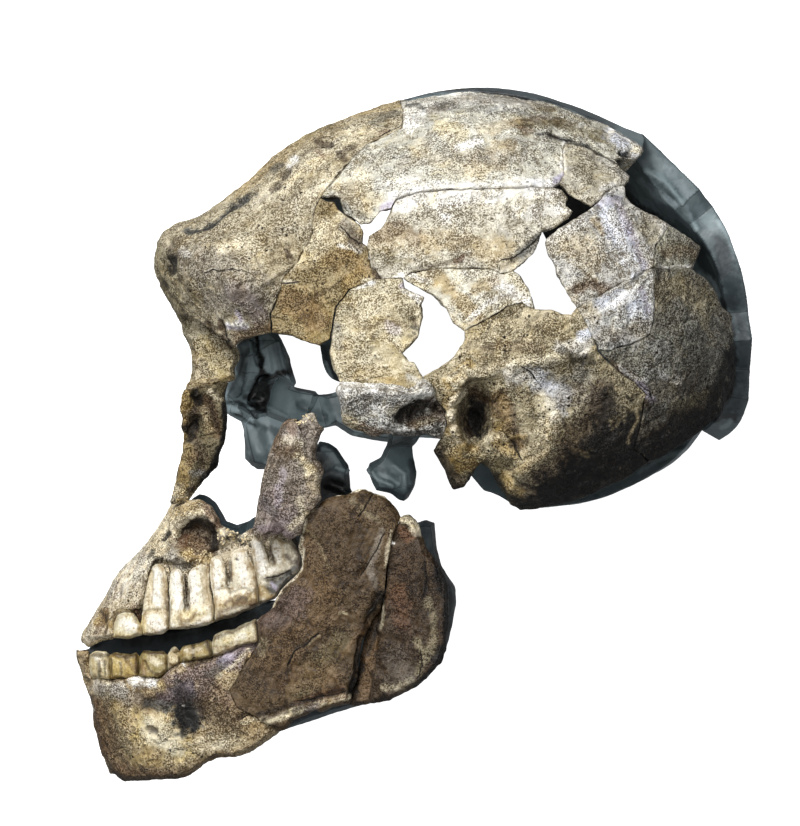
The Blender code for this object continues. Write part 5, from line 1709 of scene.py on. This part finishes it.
class Field:
    """A socket that takes part in sums: each sum adds a Math node to its tree."""

    def __init__(self, shader, socket):
        self.shader = shader
        self.socket = socket

    def joined(self, operation, *values, clamped=False):
        """The result of a Math node that takes these values in order."""
        settings = {"operation": operation, "use_clamp": clamped}
        node = self.shader.node("ShaderNodeMath", settings, dict(enumerate(values)))
        return Field(self.shader, node.outputs[0])

    def __add__(self, other):
        return self.joined("ADD", self, other)

    def __radd__(self, other):
        return self.joined("ADD", other, self)

    def __sub__(self, other):
        return self.joined("SUBTRACT", self, other)

    def __rsub__(self, other):
        return self.joined("SUBTRACT", other, self)

    def __mul__(self, other):
        return self.joined("MULTIPLY", self, other)

    def __rmul__(self, other):
        return self.joined("MULTIPLY", other, self)

    def __abs__(self):
        return self.joined("ABSOLUTE", self)

    def held(self):
        """The same value kept between 0 and 1."""
        return self.joined("ADD", self, 0.0, clamped=True)

    def step(self, low, high):
        """0 where this is low, 1 where it is high, and an even turn between."""
        settings = {"interpolation_type": "SMOOTHSTEP"}
        sockets = {"Value": self, "From Min": low, "From Max": high, "To Min": 0.0, "To Max": 1.0}
        node = self.shader.node("ShaderNodeMapRange", settings, sockets)
        return Field(self.shader, node.outputs["Result"])


class Shader:
    """One material's nodes."""

    def __init__(self, name):
        self.material = bpy.data.materials.new(name)
        self.material.use_nodes = True
        self.tree = self.material.node_tree
        self.tree.nodes.clear()

    def node(self, kind, settings=None, sockets=None):
        """Adds a node, sets it up, and links or sets its inputs."""
        node = self.tree.nodes.new(kind)
        for name, value in (settings or {}).items():
            setattr(node, name, value)
        for key, value in (sockets or {}).items():
            if isinstance(value, Field):
                self.tree.links.new(value.socket, node.inputs[key])
            else:
                node.inputs[key].default_value = value
        return node

    def field(self, node, output=0):
        """One of a node's outputs as a field."""
        return Field(self, node.outputs[output])

    def number(self, name):
        """A number kept on the mesh."""
        return self.field(self.node("ShaderNodeAttribute", {"attribute_name": name}), "Fac")

    def colour(self, name):
        """A colour kept on the mesh."""
        return self.field(self.node("ShaderNodeAttribute", {"attribute_name": name}), "Color")

    def skull_place(self):
        """Where a point is on the upright skull, in millimetres."""
        coordinates = self.field(self.node("ShaderNodeTexCoord"), "Object")
        settings = {"vector_type": "TEXTURE"}
        sockets = {
            "Vector": coordinates,
            "Location": tuple(value / MM_PER_M for value in LAY_SHIFT_MM),
            "Rotation": LAY_TURN,
            "Scale": (MILLIMETRE, MILLIMETRE, MILLIMETRE),
        }
        return self.field(self.node("ShaderNodeMapping", settings, sockets))

    def stretched(self, place, stretch, turn):
        """The same place with its axes stretched, for grain that runs one way."""
        sockets = {"Vector": place, "Rotation": (0.0, 0.0, radians(turn)), "Scale": stretch}
        return self.field(self.node("ShaderNodeMapping", {"vector_type": "TEXTURE"}, sockets))

    def noise(self, place, size, detail, roughness, distortion=0.0):
        """Noise with one rise every size millimetres."""
        sockets = {
            "Vector": place,
            "Scale": 1.0 / size,
            "Detail": detail,
            "Roughness": roughness,
            "Distortion": distortion,
        }
        return self.field(self.node("ShaderNodeTexNoise", None, sockets), "Fac")

    def warped(self, place, amount):
        """The same place pushed about unevenly, so that cells lose their straight sides."""
        push = self.node("ShaderNodeTexNoise", None, {"Vector": place, "Scale": 0.9, "Detail": 2.0})
        sockets = {0: self.field(push, "Color"), 1: (amount, amount, amount), 2: place}
        return self.field(self.node("ShaderNodeVectorMath", {"operation": "MULTIPLY_ADD"}, sockets))

    def cells(self, place, scale, feature):
        """How far a place is from the middle or the edge of its cell."""
        sockets = {"Vector": place, "Scale": scale}
        return self.field(self.node("ShaderNodeTexVoronoi", {"feature": feature}, sockets), "Distance")

    def grey_of(self, colour):
        """How light a colour is."""
        return self.field(self.node("ShaderNodeRGBToBW", None, {0: colour}))

    def mixed(self, share, first, second, blend="MIX"):
        """A colour between two."""
        settings = {"data_type": "RGBA", "blend_type": blend}
        node = self.node("ShaderNodeMix", settings, {0: share, 6: first, 7: second})
        return self.field(node, 2)

    def tinted(self, colour, tint):
        """A colour multiplied by a tint."""
        return self.mixed(1.0, colour, (*tint, 1.0), "MULTIPLY")

    def bumped(self, height, distance=MILLIMETRE):
        """The normal of a surface that rises by this height."""
        sockets = {"Strength": 1.0, "Distance": distance, "Height": height}
        return self.field(self.node("ShaderNodeBump", None, sockets))

    def finish(self, sockets):
        """The Principled shader and the material's output."""
        shader = self.node("ShaderNodeBsdfPrincipled", None, sockets)
        output = self.node("ShaderNodeOutputMaterial")
        self.tree.links.new(shader.outputs[0], output.inputs[0])
        return self.material


def solid(colour):
    """A display colour as a shader's four numbers."""
    return (*[float(value) for value in linear(colour)], 1.0)


def bone_material(name, finish, crack_colour, own_colour=None):
    """Mottled, pitted and cracked bone over the colour painted on the mesh, or over one of its own."""
    shader = Shader(name)
    place = shader.skull_place()
    grit = shader.number("grit")
    ground = shader.colour("ground") if own_colour is None else own_colour

    # Light and dark mottling, from broad blotches down to fine grain
    blotch = shader.noise(place, *BLOTCH)
    mottle = shader.noise(place, *MOTTLE)
    speck = shader.noise(place, *SPECK)
    fine = shader.noise(place, *FINE_SPECK)
    streak = shader.noise(shader.stretched(place, (7.0, 1.3, 3.0), finish["turn"]), *STREAK)
    patch = shader.noise(place, *PATCH).step(0.36, 0.64)
    grain = grit * (0.34 + patch * 1.22)
    crevice = shader.cells(shader.warped(place, 0.9), 0.75, "DISTANCE_TO_EDGE").step(0.13, 0.0) * patch
    coarse = (blotch - 0.5) * 1.25 + (mottle - 0.5) * finish["mottle"] + (streak - 0.5) * finish["streak"]
    gritty = (speck - 0.5) * 1.3 + (fine - 0.5) * 3.9 - crevice * 0.1
    tone = 0.5 + (coarse + gritty * grain) * shader.number("calm")
    hue = shader.noise(place, *HUE)
    base = shader.mixed(hue.step(0.5, 0.75) * 0.75, ground, shader.tinted(ground, WARM_TINT))
    base = shader.mixed(hue.step(0.5, 0.25) * 0.6, base, shader.tinted(ground, COOL_TINT))
    deep = shader.tinted(base, BONE_SHADE)
    light = (shader.grey_of(base) * 2.4 + 0.06).held()
    pale = shader.mixed(light * finish["cream"], shader.tinted(base, BONE_LIGHT), solid(BONE_PALE))
    colour = shader.mixed(tone.step(0.46, 0.14) * 0.9, base, deep)
    colour = shader.mixed(tone.step(0.55, 0.88) * 0.9, colour, pale)

    # Pits and hair cracks
    reach = shader.cells(place, 0.6, "F1") + (speck - 0.5) * 0.35
    pit = reach.step(0.28, 0.12) * mottle.step(0.48, 0.6) * grit * finish["pits"]
    colour = shader.mixed((pit * 0.75).held(), colour, solid(PIT_BROWN))
    vein = shader.noise(shader.stretched(place, (2.6, 1.4, 2.0), finish["turn"]), *VEIN)
    hair = abs(vein - 0.5).step(0.006, 0.0) * hue.step(0.5, 0.6) * grit
    colour = shader.mixed((hair * 0.6).held(), colour, solid(HAIR_BROWN))

    # The drawn cracks, each with a pale lip of painted highlight on one side
    crack_on = shader.number("crack_on")
    bent = shader.number("crack") + (mottle - 0.5) * 3.0 + (speck - 0.5) * 1.5
    line = abs(bent).step(0.85, 0.3) * crack_on * mottle.step(0.25, 0.4)
    lip = abs(bent - 1.5).step(0.9, 0.2) * crack_on * 0.22
    colour = shader.mixed(lip, colour, pale)
    colour = shader.mixed((line * 0.9).held(), colour, crack_colour)

    # Broken rims, chipped in places and stained in others, and darkened at the very edge as painted shade
    rim = shader.number("rim")
    chipped = rim.step(0.5, 0.95) * mottle.step(0.48, 0.58)
    stained = rim.step(0.4, 0.95) * mottle.step(0.5, 0.38)
    colour = shader.mixed(chipped * 0.5, colour, pale)
    colour = shader.mixed(stained * 0.25, colour, deep)
    colour = shader.mixed(rim.step(0.8, 1.0) * 0.55, colour, deep)

    height = (
        mottle * (0.6 * finish["relief"])
        + speck * (0.5 * finish["relief"]) * grain
        + fine * (0.34 * finish["relief"]) * grain
        - crevice * 0.1
        + streak * 0.15
        - pit * 0.25
        - line * 0.35
    )
    sockets = {
        "Base Color": colour,
        "Roughness": (finish["roughness"] + (mottle - 0.5) * 0.5 + pit * 0.2).held(),
        "Normal": shader.bumped(height),
        "Specular IOR Level": 0.3,
    }
    return shader.finish(sockets)


def tooth_material(name, finish):
    """Ivory with fine upright cracks, a soft gloss and rims darkened by painted shade."""
    shader = Shader(name)
    place = shader.skull_place()
    ground = shader.colour("ground")
    cloud = shader.noise(place, *TOOTH_CLOUD)
    speck = shader.noise(place, *TOOTH_SPECK)
    upright = shader.noise(shader.stretched(place, (0.7, 3.6, 1.2), 4.0), *TOOTH_UPRIGHT)
    tone = 0.5 + (cloud - 0.5) * 0.8 + (speck - 0.5) * 1.8 + (upright - 0.5) * 1.0
    deep = shader.tinted(ground, TOOTH_SHADE)
    light = (shader.grey_of(ground) * 0.9).held()
    pale = shader.mixed(light, shader.tinted(ground, TOOTH_LIGHT), solid(TOOTH_PALE))
    colour = shader.mixed(tone.step(0.42, 0.1) * 0.9, ground, deep)
    colour = shader.mixed(tone.step(0.52, 0.85) * 0.8, colour, pale)
    bent = shader.number("crack") + (cloud - 0.5) * 3.0
    line = abs(bent).step(1.2, 0.3) * shader.number("crack_on")
    hair = abs(upright - 0.5).step(0.012, 0.0) * cloud.step(0.5, 0.6)
    colour = shader.mixed((line * 0.9).held(), colour, solid(TOOTH_CRACK))
    colour = shader.mixed(hair * 0.5, colour, solid(TOOTH_HAIR))
    rim = shader.number("rim")
    # Painted shade: the rims darkened into a dark outline
    colour = shader.mixed(rim.step(0.4, 1.0) * cloud.step(0.6, 0.4) * 0.7, colour, deep)
    colour = shader.mixed(rim.step(0.8, 1.0) * 0.5, colour, deep)
    height = cloud * 0.25 + speck * 0.25 + upright * 0.4 - line * 0.3 - hair * 0.1
    sockets = {
        "Base Color": colour,
        "Roughness": (finish["roughness"] + (speck - 0.5) * 0.4).held(),
        "Normal": shader.bumped(height, 0.8 * MILLIMETRE),
    }
    return shader.finish(sockets)


def grey_material(name, finish):
    """Smooth slate-grey casting with faint clouds, worn edges and a thin dark outline of painted shade."""
    shader = Shader(name)
    place = shader.skull_place()
    ground = shader.colour("ground")
    cloud = shader.noise(place, *GREY_CLOUD)
    grain = shader.noise(place, *GREY_GRAIN)
    pale = shader.mixed(0.28, ground, solid(GREY_WORN))
    tone = 0.5 + (cloud - 0.5) * 1.2 + (grain - 0.5) * 0.35
    colour = shader.mixed(tone.step(0.5, 0.1) * 0.8, ground, shader.tinted(ground, GREY_SHADE))
    colour = shader.mixed(tone.step(0.52, 0.9) * 0.7, colour, pale)
    rim = shader.number("rim")
    colour = shader.mixed(rim.step(0.5, 1.0) * cloud.step(0.42, 0.56) * 0.35, colour, pale)
    # Painted shade: a thin dark outline along the rims
    colour = shader.mixed(rim.step(0.8, 1.0) * 0.6, colour, solid(GREY_RIM_SHADE))
    sockets = {
        "Base Color": colour,
        "Roughness": (finish["roughness"] + (grain - 0.5) * 0.25).held(),
        "Normal": shader.bumped(grain * 0.1 + cloud * 0.5),
    }
    return shader.finish(sockets)


MATERIALS = {}


def make_materials(settings):
    """One material for each of the record's slots, and one for the grains."""
    crack_colour = (*settings.crack_colour, 1.0)
    grain_colour = (*settings.grain_colour, 1.0)
    for slot in ("pale_bone", "brown_bone", "white_grey_bone", "dark_bone"):
        MATERIALS[slot] = bone_material(f"{slot}_look", FINISHES[slot], crack_colour)
    MATERIALS["tooth"] = tooth_material("tooth_look", FINISHES["tooth"])
    MATERIALS["grey_mirror_half"] = grey_material("grey_mirror_look", FINISHES["grey_mirror_half"])
    MATERIALS["grain"] = bone_material("grain_look", FINISHES["pale_bone"], crack_colour, grain_colour)


# Settings
class FossilSkullSettings(bpy.types.PropertyGroup):
    """What can be set before the skull is built."""

    bone_edge: FloatProperty(
        name="Bone Edge",
        description="Longest triangle edge on the side of the bone that is seen",
        default=0.00066,
        unit="LENGTH",
    )
    grey_edge: FloatProperty(
        name="Grey Edge",
        description="Longest triangle edge on the grey half's inner side",
        default=0.0011,
        unit="LENGTH",
    )
    hidden_edge: FloatProperty(
        name="Hidden Edge",
        description="Longest triangle edge on sides that look away",
        default=0.0018,
        unit="LENGTH",
    )
    relief: FloatProperty(
        name="Relief",
        description="How strongly the bone's surface rises and sinks",
        default=1.0,
        subtype="FACTOR",
    )
    wander: FloatProperty(
        name="Wander",
        description="How far broken edges drift from a straight run",
        default=0.00024,
        unit="LENGTH",
    )
    bone_tint: FloatVectorProperty(
        name="Bone Tint",
        description="Colour that multiplies the painted bone and teeth",
        default=NO_TINT,
        subtype="COLOR",
    )
    grey_tint: FloatVectorProperty(
        name="Grey Tint",
        description="Colour that multiplies the painted grey half",
        default=NO_TINT,
        subtype="COLOR",
    )
    crack_colour: FloatVectorProperty(
        name="Crack Colour",
        description="Colour down in the drawn cracks of the bone",
        default=solid(CRACK_COLOUR)[:3],
        subtype="COLOR",
    )
    grain_colour: FloatVectorProperty(
        name="Grain Colour",
        description="Colour of the loose grains",
        default=solid(GRAIN_COLOUR)[:3],
        subtype="COLOR",
    )
    grain_density: FloatProperty(
        name="Grain Density",
        description="Grains for each square metre of broken bone",
        default=700000.0,
    )
    grain_size: FloatProperty(
        name="Grain Size",
        description="Radius of a middling grain",
        default=0.00038,
        unit="LENGTH",
    )
    grain_seed: IntProperty(
        name="Grain Seed",
        description="Seed for where the grains lie",
        default=4,
    )
    key_power: FloatProperty(
        name="Key Power",
        description="Power of the large soft light at the upper left",
        default=17.0,
        unit="POWER",
    )
    fill_power: FloatProperty(
        name="Fill Power",
        description="Power of the light from straight over the skull, which reaches into its openings",
        default=14.0,
        unit="POWER",
    )
    floor_colour: FloatVectorProperty(
        name="Floor Colour",
        description="Colour of the floor",
        default=solid(FLOOR_COLOUR)[:3],
        subtype="COLOR",
    )
    sky_colour: FloatVectorProperty(
        name="Sky Colour",
        description="Colour of the even light from all sides",
        default=SKY_COLOUR,
        subtype="COLOR",
    )
    sky_strength: FloatProperty(
        name="Sky Strength",
        description="Strength of the even light from all sides",
        default=0.26,
    )


# Broken places that are full of small grains, laid by Geometry Nodes: middle and half size, in pixels.
GRAIN_PLACES = {
    "maxilla": (
        ((198, 556), (16, 9)),
        ((186, 512), (16, 5)),
        ((228, 535), (11, 9)),
        ((246, 541), (10, 6)),
    ),
    "nasal_process": (((182, 496), (9, 12)),),
    "coronoid_piece": (((308, 420), (12, 7)),),
}

GRAIN_INPUTS = {
    "Geometry": "NodeSocketGeometry",
    "Density": "NodeSocketFloat",
    "Size": "NodeSocketFloat",
    "Seed": "NodeSocketInt",
    "Material": "NodeSocketMaterial",
}
GRAIN_SMALLEST = (0.5, 0.5, 0.35)
GRAIN_LARGEST = (1.3, 1.2, 0.9)
FULL_TURN = 6.28


def grain_tree():
    """The node tree that strews grains over a patch, and the identifiers of its inputs."""
    tree = bpy.data.node_groups.new("grains", "GeometryNodeTree")
    names = {}
    for name, kind in GRAIN_INPUTS.items():
        names[name] = tree.interface.new_socket(name, in_out="INPUT", socket_type=kind).identifier
    tree.interface.new_socket("Geometry", in_out="OUTPUT", socket_type="NodeSocketGeometry")
    start = tree.nodes.new("NodeGroupInput")
    end = tree.nodes.new("NodeGroupOutput")
    spread = tree.nodes.new("GeometryNodeDistributePointsOnFaces")
    ball = tree.nodes.new("GeometryNodeMeshIcoSphere")
    ball.inputs["Subdivisions"].default_value = 2
    lay = tree.nodes.new("GeometryNodeInstanceOnPoints")
    scale = tree.nodes.new("FunctionNodeRandomValue")
    scale.data_type = "FLOAT_VECTOR"
    scale.inputs[0].default_value = GRAIN_SMALLEST
    scale.inputs[1].default_value = GRAIN_LARGEST
    turn = tree.nodes.new("FunctionNodeRandomValue")
    turn.data_type = "FLOAT_VECTOR"
    turn.inputs[1].default_value = (FULL_TURN, FULL_TURN, FULL_TURN)
    real = tree.nodes.new("GeometryNodeRealizeInstances")
    smooth = tree.nodes.new("GeometryNodeSetShadeSmooth")
    paint = tree.nodes.new("GeometryNodeSetMaterial")
    for source, output, target, socket in (
        (start, "Geometry", spread, "Mesh"),
        (start, "Density", spread, "Density"),
        (start, "Seed", spread, "Seed"),
        (start, "Size", ball, "Radius"),
        (spread, "Points", lay, "Points"),
        (ball, "Mesh", lay, "Instance"),
        (scale, 0, lay, "Scale"),
        (turn, 0, lay, "Rotation"),
        (start, "Seed", scale, "Seed"),
        (start, "Seed", turn, "Seed"),
        (lay, "Instances", smooth, "Geometry"),
        (smooth, "Geometry", real, "Geometry"),
        (real, "Geometry", paint, "Geometry"),
        (start, "Material", paint, "Material"),
        (paint, "Geometry", end, "Geometry"),
    ):
        tree.links.new(source.outputs[output], target.inputs[socket])
    return tree, names


def grain_patch(node):
    """The faces of a finished piece that lie in its broken places and look up."""
    source = bpy.data.objects.get(f"{node}_surface")
    if source is None:
        raise RuntimeError(f"{node} has to be built before its grains")
    count = len(source.data.vertices)
    points = np.empty(count * 3)
    source.data.vertices.foreach_get("co", points)
    points = points.reshape(-1, 3)
    faces = np.empty(len(source.data.loops), dtype=np.int32)
    source.data.loops.foreach_get("vertex_index", faces)
    faces = faces.reshape(-1, 3)
    places = to_pixels(to_skull(points))[faces].mean(axis=1)
    looks_up = face_normals(points, faces)[:, 2] > 0
    chosen = np.zeros(len(faces), dtype=bool)
    for middle, half in GRAIN_PLACES[node]:
        offset = (places - np.array(middle)) / np.array(half)
        chosen |= (offset**2).sum(axis=1) < 1
    kept = faces[chosen & looks_up]
    used, renumbered = np.unique(kept, return_inverse=True)
    return points[used], renumbered.reshape(-1, 3)


def build_grains(node, settings):
    """The grains on one piece, as a mesh of their own."""
    points, faces = grain_patch(node)
    patch = mesh_object(f"{node}_patch", points, faces, MATERIALS["grain"])
    tree, names = grain_tree()
    modifier = patch.modifiers.new("grains", "NODES")
    modifier.node_group = tree
    modifier[names["Density"]] = settings.grain_density
    modifier[names["Size"]] = settings.grain_size
    modifier[names["Seed"]] = settings.grain_seed
    modifier[names["Material"]] = MATERIALS["grain"]
    bpy.context.view_layer.update()
    ready = patch.evaluated_get(bpy.context.evaluated_depsgraph_get())
    mesh = bpy.data.meshes.new_from_object(ready)
    if not mesh.polygons:
        raise RuntimeError(f"no grains came out on {node}")
    patch.modifiers.remove(modifier)
    old = patch.data
    patch.data = mesh
    bpy.data.meshes.remove(old)
    bpy.data.node_groups.remove(tree)
    patch.name = f"{node}_grains"
    mesh.name = patch.name
    count = len(mesh.vertices)
    flat = np.empty(count * 3)
    mesh.vertices.foreach_get("co", flat)
    mesh.vertices.foreach_set("co", inside_box(flat.reshape(-1, 3)).ravel())
    numbers = {"crack": NO_CRACK, "crack_on": 0.0, "rim": 0.0, "grit": 1.0, "calm": 1.0}
    for name, value in numbers.items():
        add_number(mesh, name, np.full(count, value))
    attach(patch, "root")
    return patch


# Floor, light and camera, in metres. The floor lies a little lower, so that it never cuts into the skull.
FLOOR_SIDE = 6.0
FLOOR_DROP = 0.0002
KEY_DISTANCE = 1.3
KEY_SIDE = 0.7
KEY_FROM = (-0.45, 0.72, 0.75)
FILL_FROM = (-0.12, 0.1, 1.0)
FILL_DISTANCE = 2.2
FILL_SIDE = 0.5
LIT_POINT = (0, 0, 0.06)


def make_floor(colour):
    """A large pale floor that the skull lies on, bright enough to stay white under it."""
    half = FLOOR_SIDE / 2
    corners = np.array([(-half, -half), (half, -half), (half, half), (-half, half)])
    points = np.column_stack([corners, np.full(4, -FLOOR_DROP)])
    sockets = {
        "Base Color": (*colour, 1.0),
        "Roughness": 0.9,
        "Emission Color": solid(FLOOR_GLOW),
        "Emission Strength": 1.0,
    }
    material = Shader("pale_floor").finish(sockets)
    floor = mesh_object("floor", points, np.array([(0, 1, 2), (0, 2, 3)]), material)
    floor.visible_diffuse = False
    floor.visible_glossy = False
    return floor


def aim(piece, target):
    """Turns a light or camera towards a point."""
    look = Vector(target) - piece.location
    piece.rotation_euler = look.to_track_quat("-Z", "Y").to_euler()


def soft_light(name, direction, distance, side, power):
    """A square soft light on the given side of the upright skull."""
    data = bpy.data.lights.new(name, "AREA")
    data.shape = "SQUARE"
    data.size = side
    data.energy = power
    lamp = bpy.data.objects.new(name, data)
    bpy.context.scene.collection.objects.link(lamp)
    lamp.location = LAY @ (Vector(direction).normalized() * distance)
    aim(lamp, LIT_POINT)
    return lamp


def make_camera():
    """A long lens straight over the median plane, framed as the photo is."""
    data = bpy.data.cameras.new("camera")
    data.sensor_fit = "HORIZONTAL"
    data.sensor_width = SENSOR_MM
    width_mm = PHOTO_SIZE[0] * PIXEL_MM
    data.lens = SENSOR_MM * CAMERA_DISTANCE / (width_mm / MM_PER_M)
    data.clip_start = 0.1
    data.clip_end = 40.0
    camera = bpy.data.objects.new("camera", data)
    bpy.context.scene.collection.objects.link(camera)
    across = (PHOTO_SIZE[0] / 2 - CENTRE_PIXEL[0]) * PIXEL_MM / MM_PER_M
    up = (CENTRE_PIXEL[1] - PHOTO_SIZE[1] / 2) * PIXEL_MM / MM_PER_M
    shift = Vector(LAY_SHIFT_MM) / MM_PER_M
    camera.location = LAY @ Vector((across, up, CAMERA_DISTANCE)) + shift
    camera.rotation_euler = LAY.to_euler()
    bpy.context.scene.camera = camera
    return camera


def set_world(colour, strength):
    """Even pale light from all sides."""
    world = bpy.data.worlds.new("pale_sky")
    world.use_nodes = True
    sky = world.node_tree.nodes["Background"]
    sky.inputs["Color"].default_value = (*colour, 1.0)
    sky.inputs["Strength"].default_value = strength
    bpy.context.scene.world = world


# Operators
def ready_settings(context):
    """The scene's settings, once the materials are made with them."""
    settings = context.scene.fossil_skull
    if not MATERIALS:
        make_materials(settings)
    return settings


def build_all(nodes, context):
    """Builds the surfaces of these nodes with the scene's settings."""
    settings = ready_settings(context)
    for node in nodes:
        build_surface(node, settings)
    return {"FINISHED"}


class BuildBraincase(bpy.types.Operator):
    """Build the bone fragments of the left side of the braincase"""

    bl_idname = "fossil_skull.braincase"
    bl_label = "Braincase Fragments"

    def execute(self, context):
        return build_all(BRAINCASE_NODES, context)


class BuildCheek(bpy.types.Operator):
    """Build the piece of the cheek arch"""

    bl_idname = "fossil_skull.cheek"
    bl_label = "Cheek Arch"

    def execute(self, context):
        return build_all(("zygomatic_process",), context)


class BuildNose(bpy.types.Operator):
    """Build the strip beside the nose opening"""

    bl_idname = "fossil_skull.nose"
    bl_label = "Nasal Strip"

    def execute(self, context):
        return build_all(("nasal_process",), context)


class BuildUpperJaw(bpy.types.Operator):
    """Build the upper jaw with its open sinus"""

    bl_idname = "fossil_skull.upper_jaw"
    bl_label = "Upper Jaw"

    def execute(self, context):
        return build_all(("maxilla",), context)


class BuildLowerJaw(bpy.types.Operator):
    """Build the body of the lower jaw and the pieces of its upright branch"""

    bl_idname = "fossil_skull.lower_jaw"
    bl_label = "Lower Jaw"

    def execute(self, context):
        return build_all(LOWER_JAW_NODES, context)


class BuildUpperTeeth(bpy.types.Operator):
    """Build the upper teeth with their roots"""

    bl_idname = "fossil_skull.upper_teeth"
    bl_label = "Upper Teeth"

    def execute(self, context):
        return build_all(UPPER_TEETH, context)


class BuildLowerTeeth(bpy.types.Operator):
    """Build the crowns of the lower teeth"""

    bl_idname = "fossil_skull.lower_teeth"
    bl_label = "Lower Teeth"

    def execute(self, context):
        return build_all(LOWER_TEETH, context)


class BuildMirrorHalf(bpy.types.Operator):
    """Build the smooth grey half behind the bone"""

    bl_idname = "fossil_skull.mirror_half"
    bl_label = "Grey Mirror Half"

    def execute(self, context):
        return build_all(MIRROR_NODES, context)


class BuildGrains(bpy.types.Operator):
    """Strew grains over the places where the bone is broken open"""

    bl_idname = "fossil_skull.grains"
    bl_label = "Grains"

    def execute(self, context):
        settings = ready_settings(context)
        for node in GRAIN_PLACES:
            build_grains(node, settings)
        return {"FINISHED"}


class BuildStage(bpy.types.Operator):
    """Build the floor, the lights and the camera"""

    bl_idname = "fossil_skull.stage"
    bl_label = "Stage"

    def execute(self, context):
        settings = context.scene.fossil_skull
        make_floor(settings.floor_colour)
        soft_light("key_light", KEY_FROM, KEY_DISTANCE, KEY_SIDE, settings.key_power)
        soft_light("fill_light", FILL_FROM, FILL_DISTANCE, FILL_SIDE, settings.fill_power)
        set_world(settings.sky_colour, settings.sky_strength)
        make_camera()
        context.scene.view_settings.view_transform = "Standard"
        return {"FINISHED"}


OPERATORS = (
    BuildBraincase,
    BuildCheek,
    BuildNose,
    BuildUpperJaw,
    BuildLowerJaw,
    BuildUpperTeeth,
    BuildLowerTeeth,
    BuildMirrorHalf,
    BuildGrains,
    BuildStage,
)


class FossilSkullPanel(bpy.types.Panel):
    """The sidebar's list of what can be built"""

    bl_idname = "VIEW3D_PT_fossil_skull"
    bl_label = "Fossil Skull"
    bl_space_type = "VIEW_3D"
    bl_region_type = "UI"
    bl_category = "Fossil Skull"

    def draw(self, context):
        settings = context.scene.fossil_skull
        for name in FossilSkullSettings.__annotations__:
            self.layout.prop(settings, name)
        for operator in OPERATORS:
            self.layout.operator(operator.bl_idname)


CLASSES = (FossilSkullSettings, *OPERATORS, FossilSkullPanel)


def register():
    """Adds the settings, the operators and the panel to Blender."""
    for item in CLASSES:
        bpy.utils.register_class(item)
    bpy.types.Scene.fossil_skull = PointerProperty(type=FossilSkullSettings)


def unregister():
    """Takes them out again."""
    del bpy.types.Scene.fossil_skull
    for item in reversed(CLASSES):
        bpy.utils.unregister_class(item)


def main():
    """Builds every piece in order."""
    register()
    for operator in OPERATORS:
        group, name = operator.bl_idname.split(".")
        getattr(getattr(bpy.ops, group), name)()


if __name__ == "__main__":
    main()
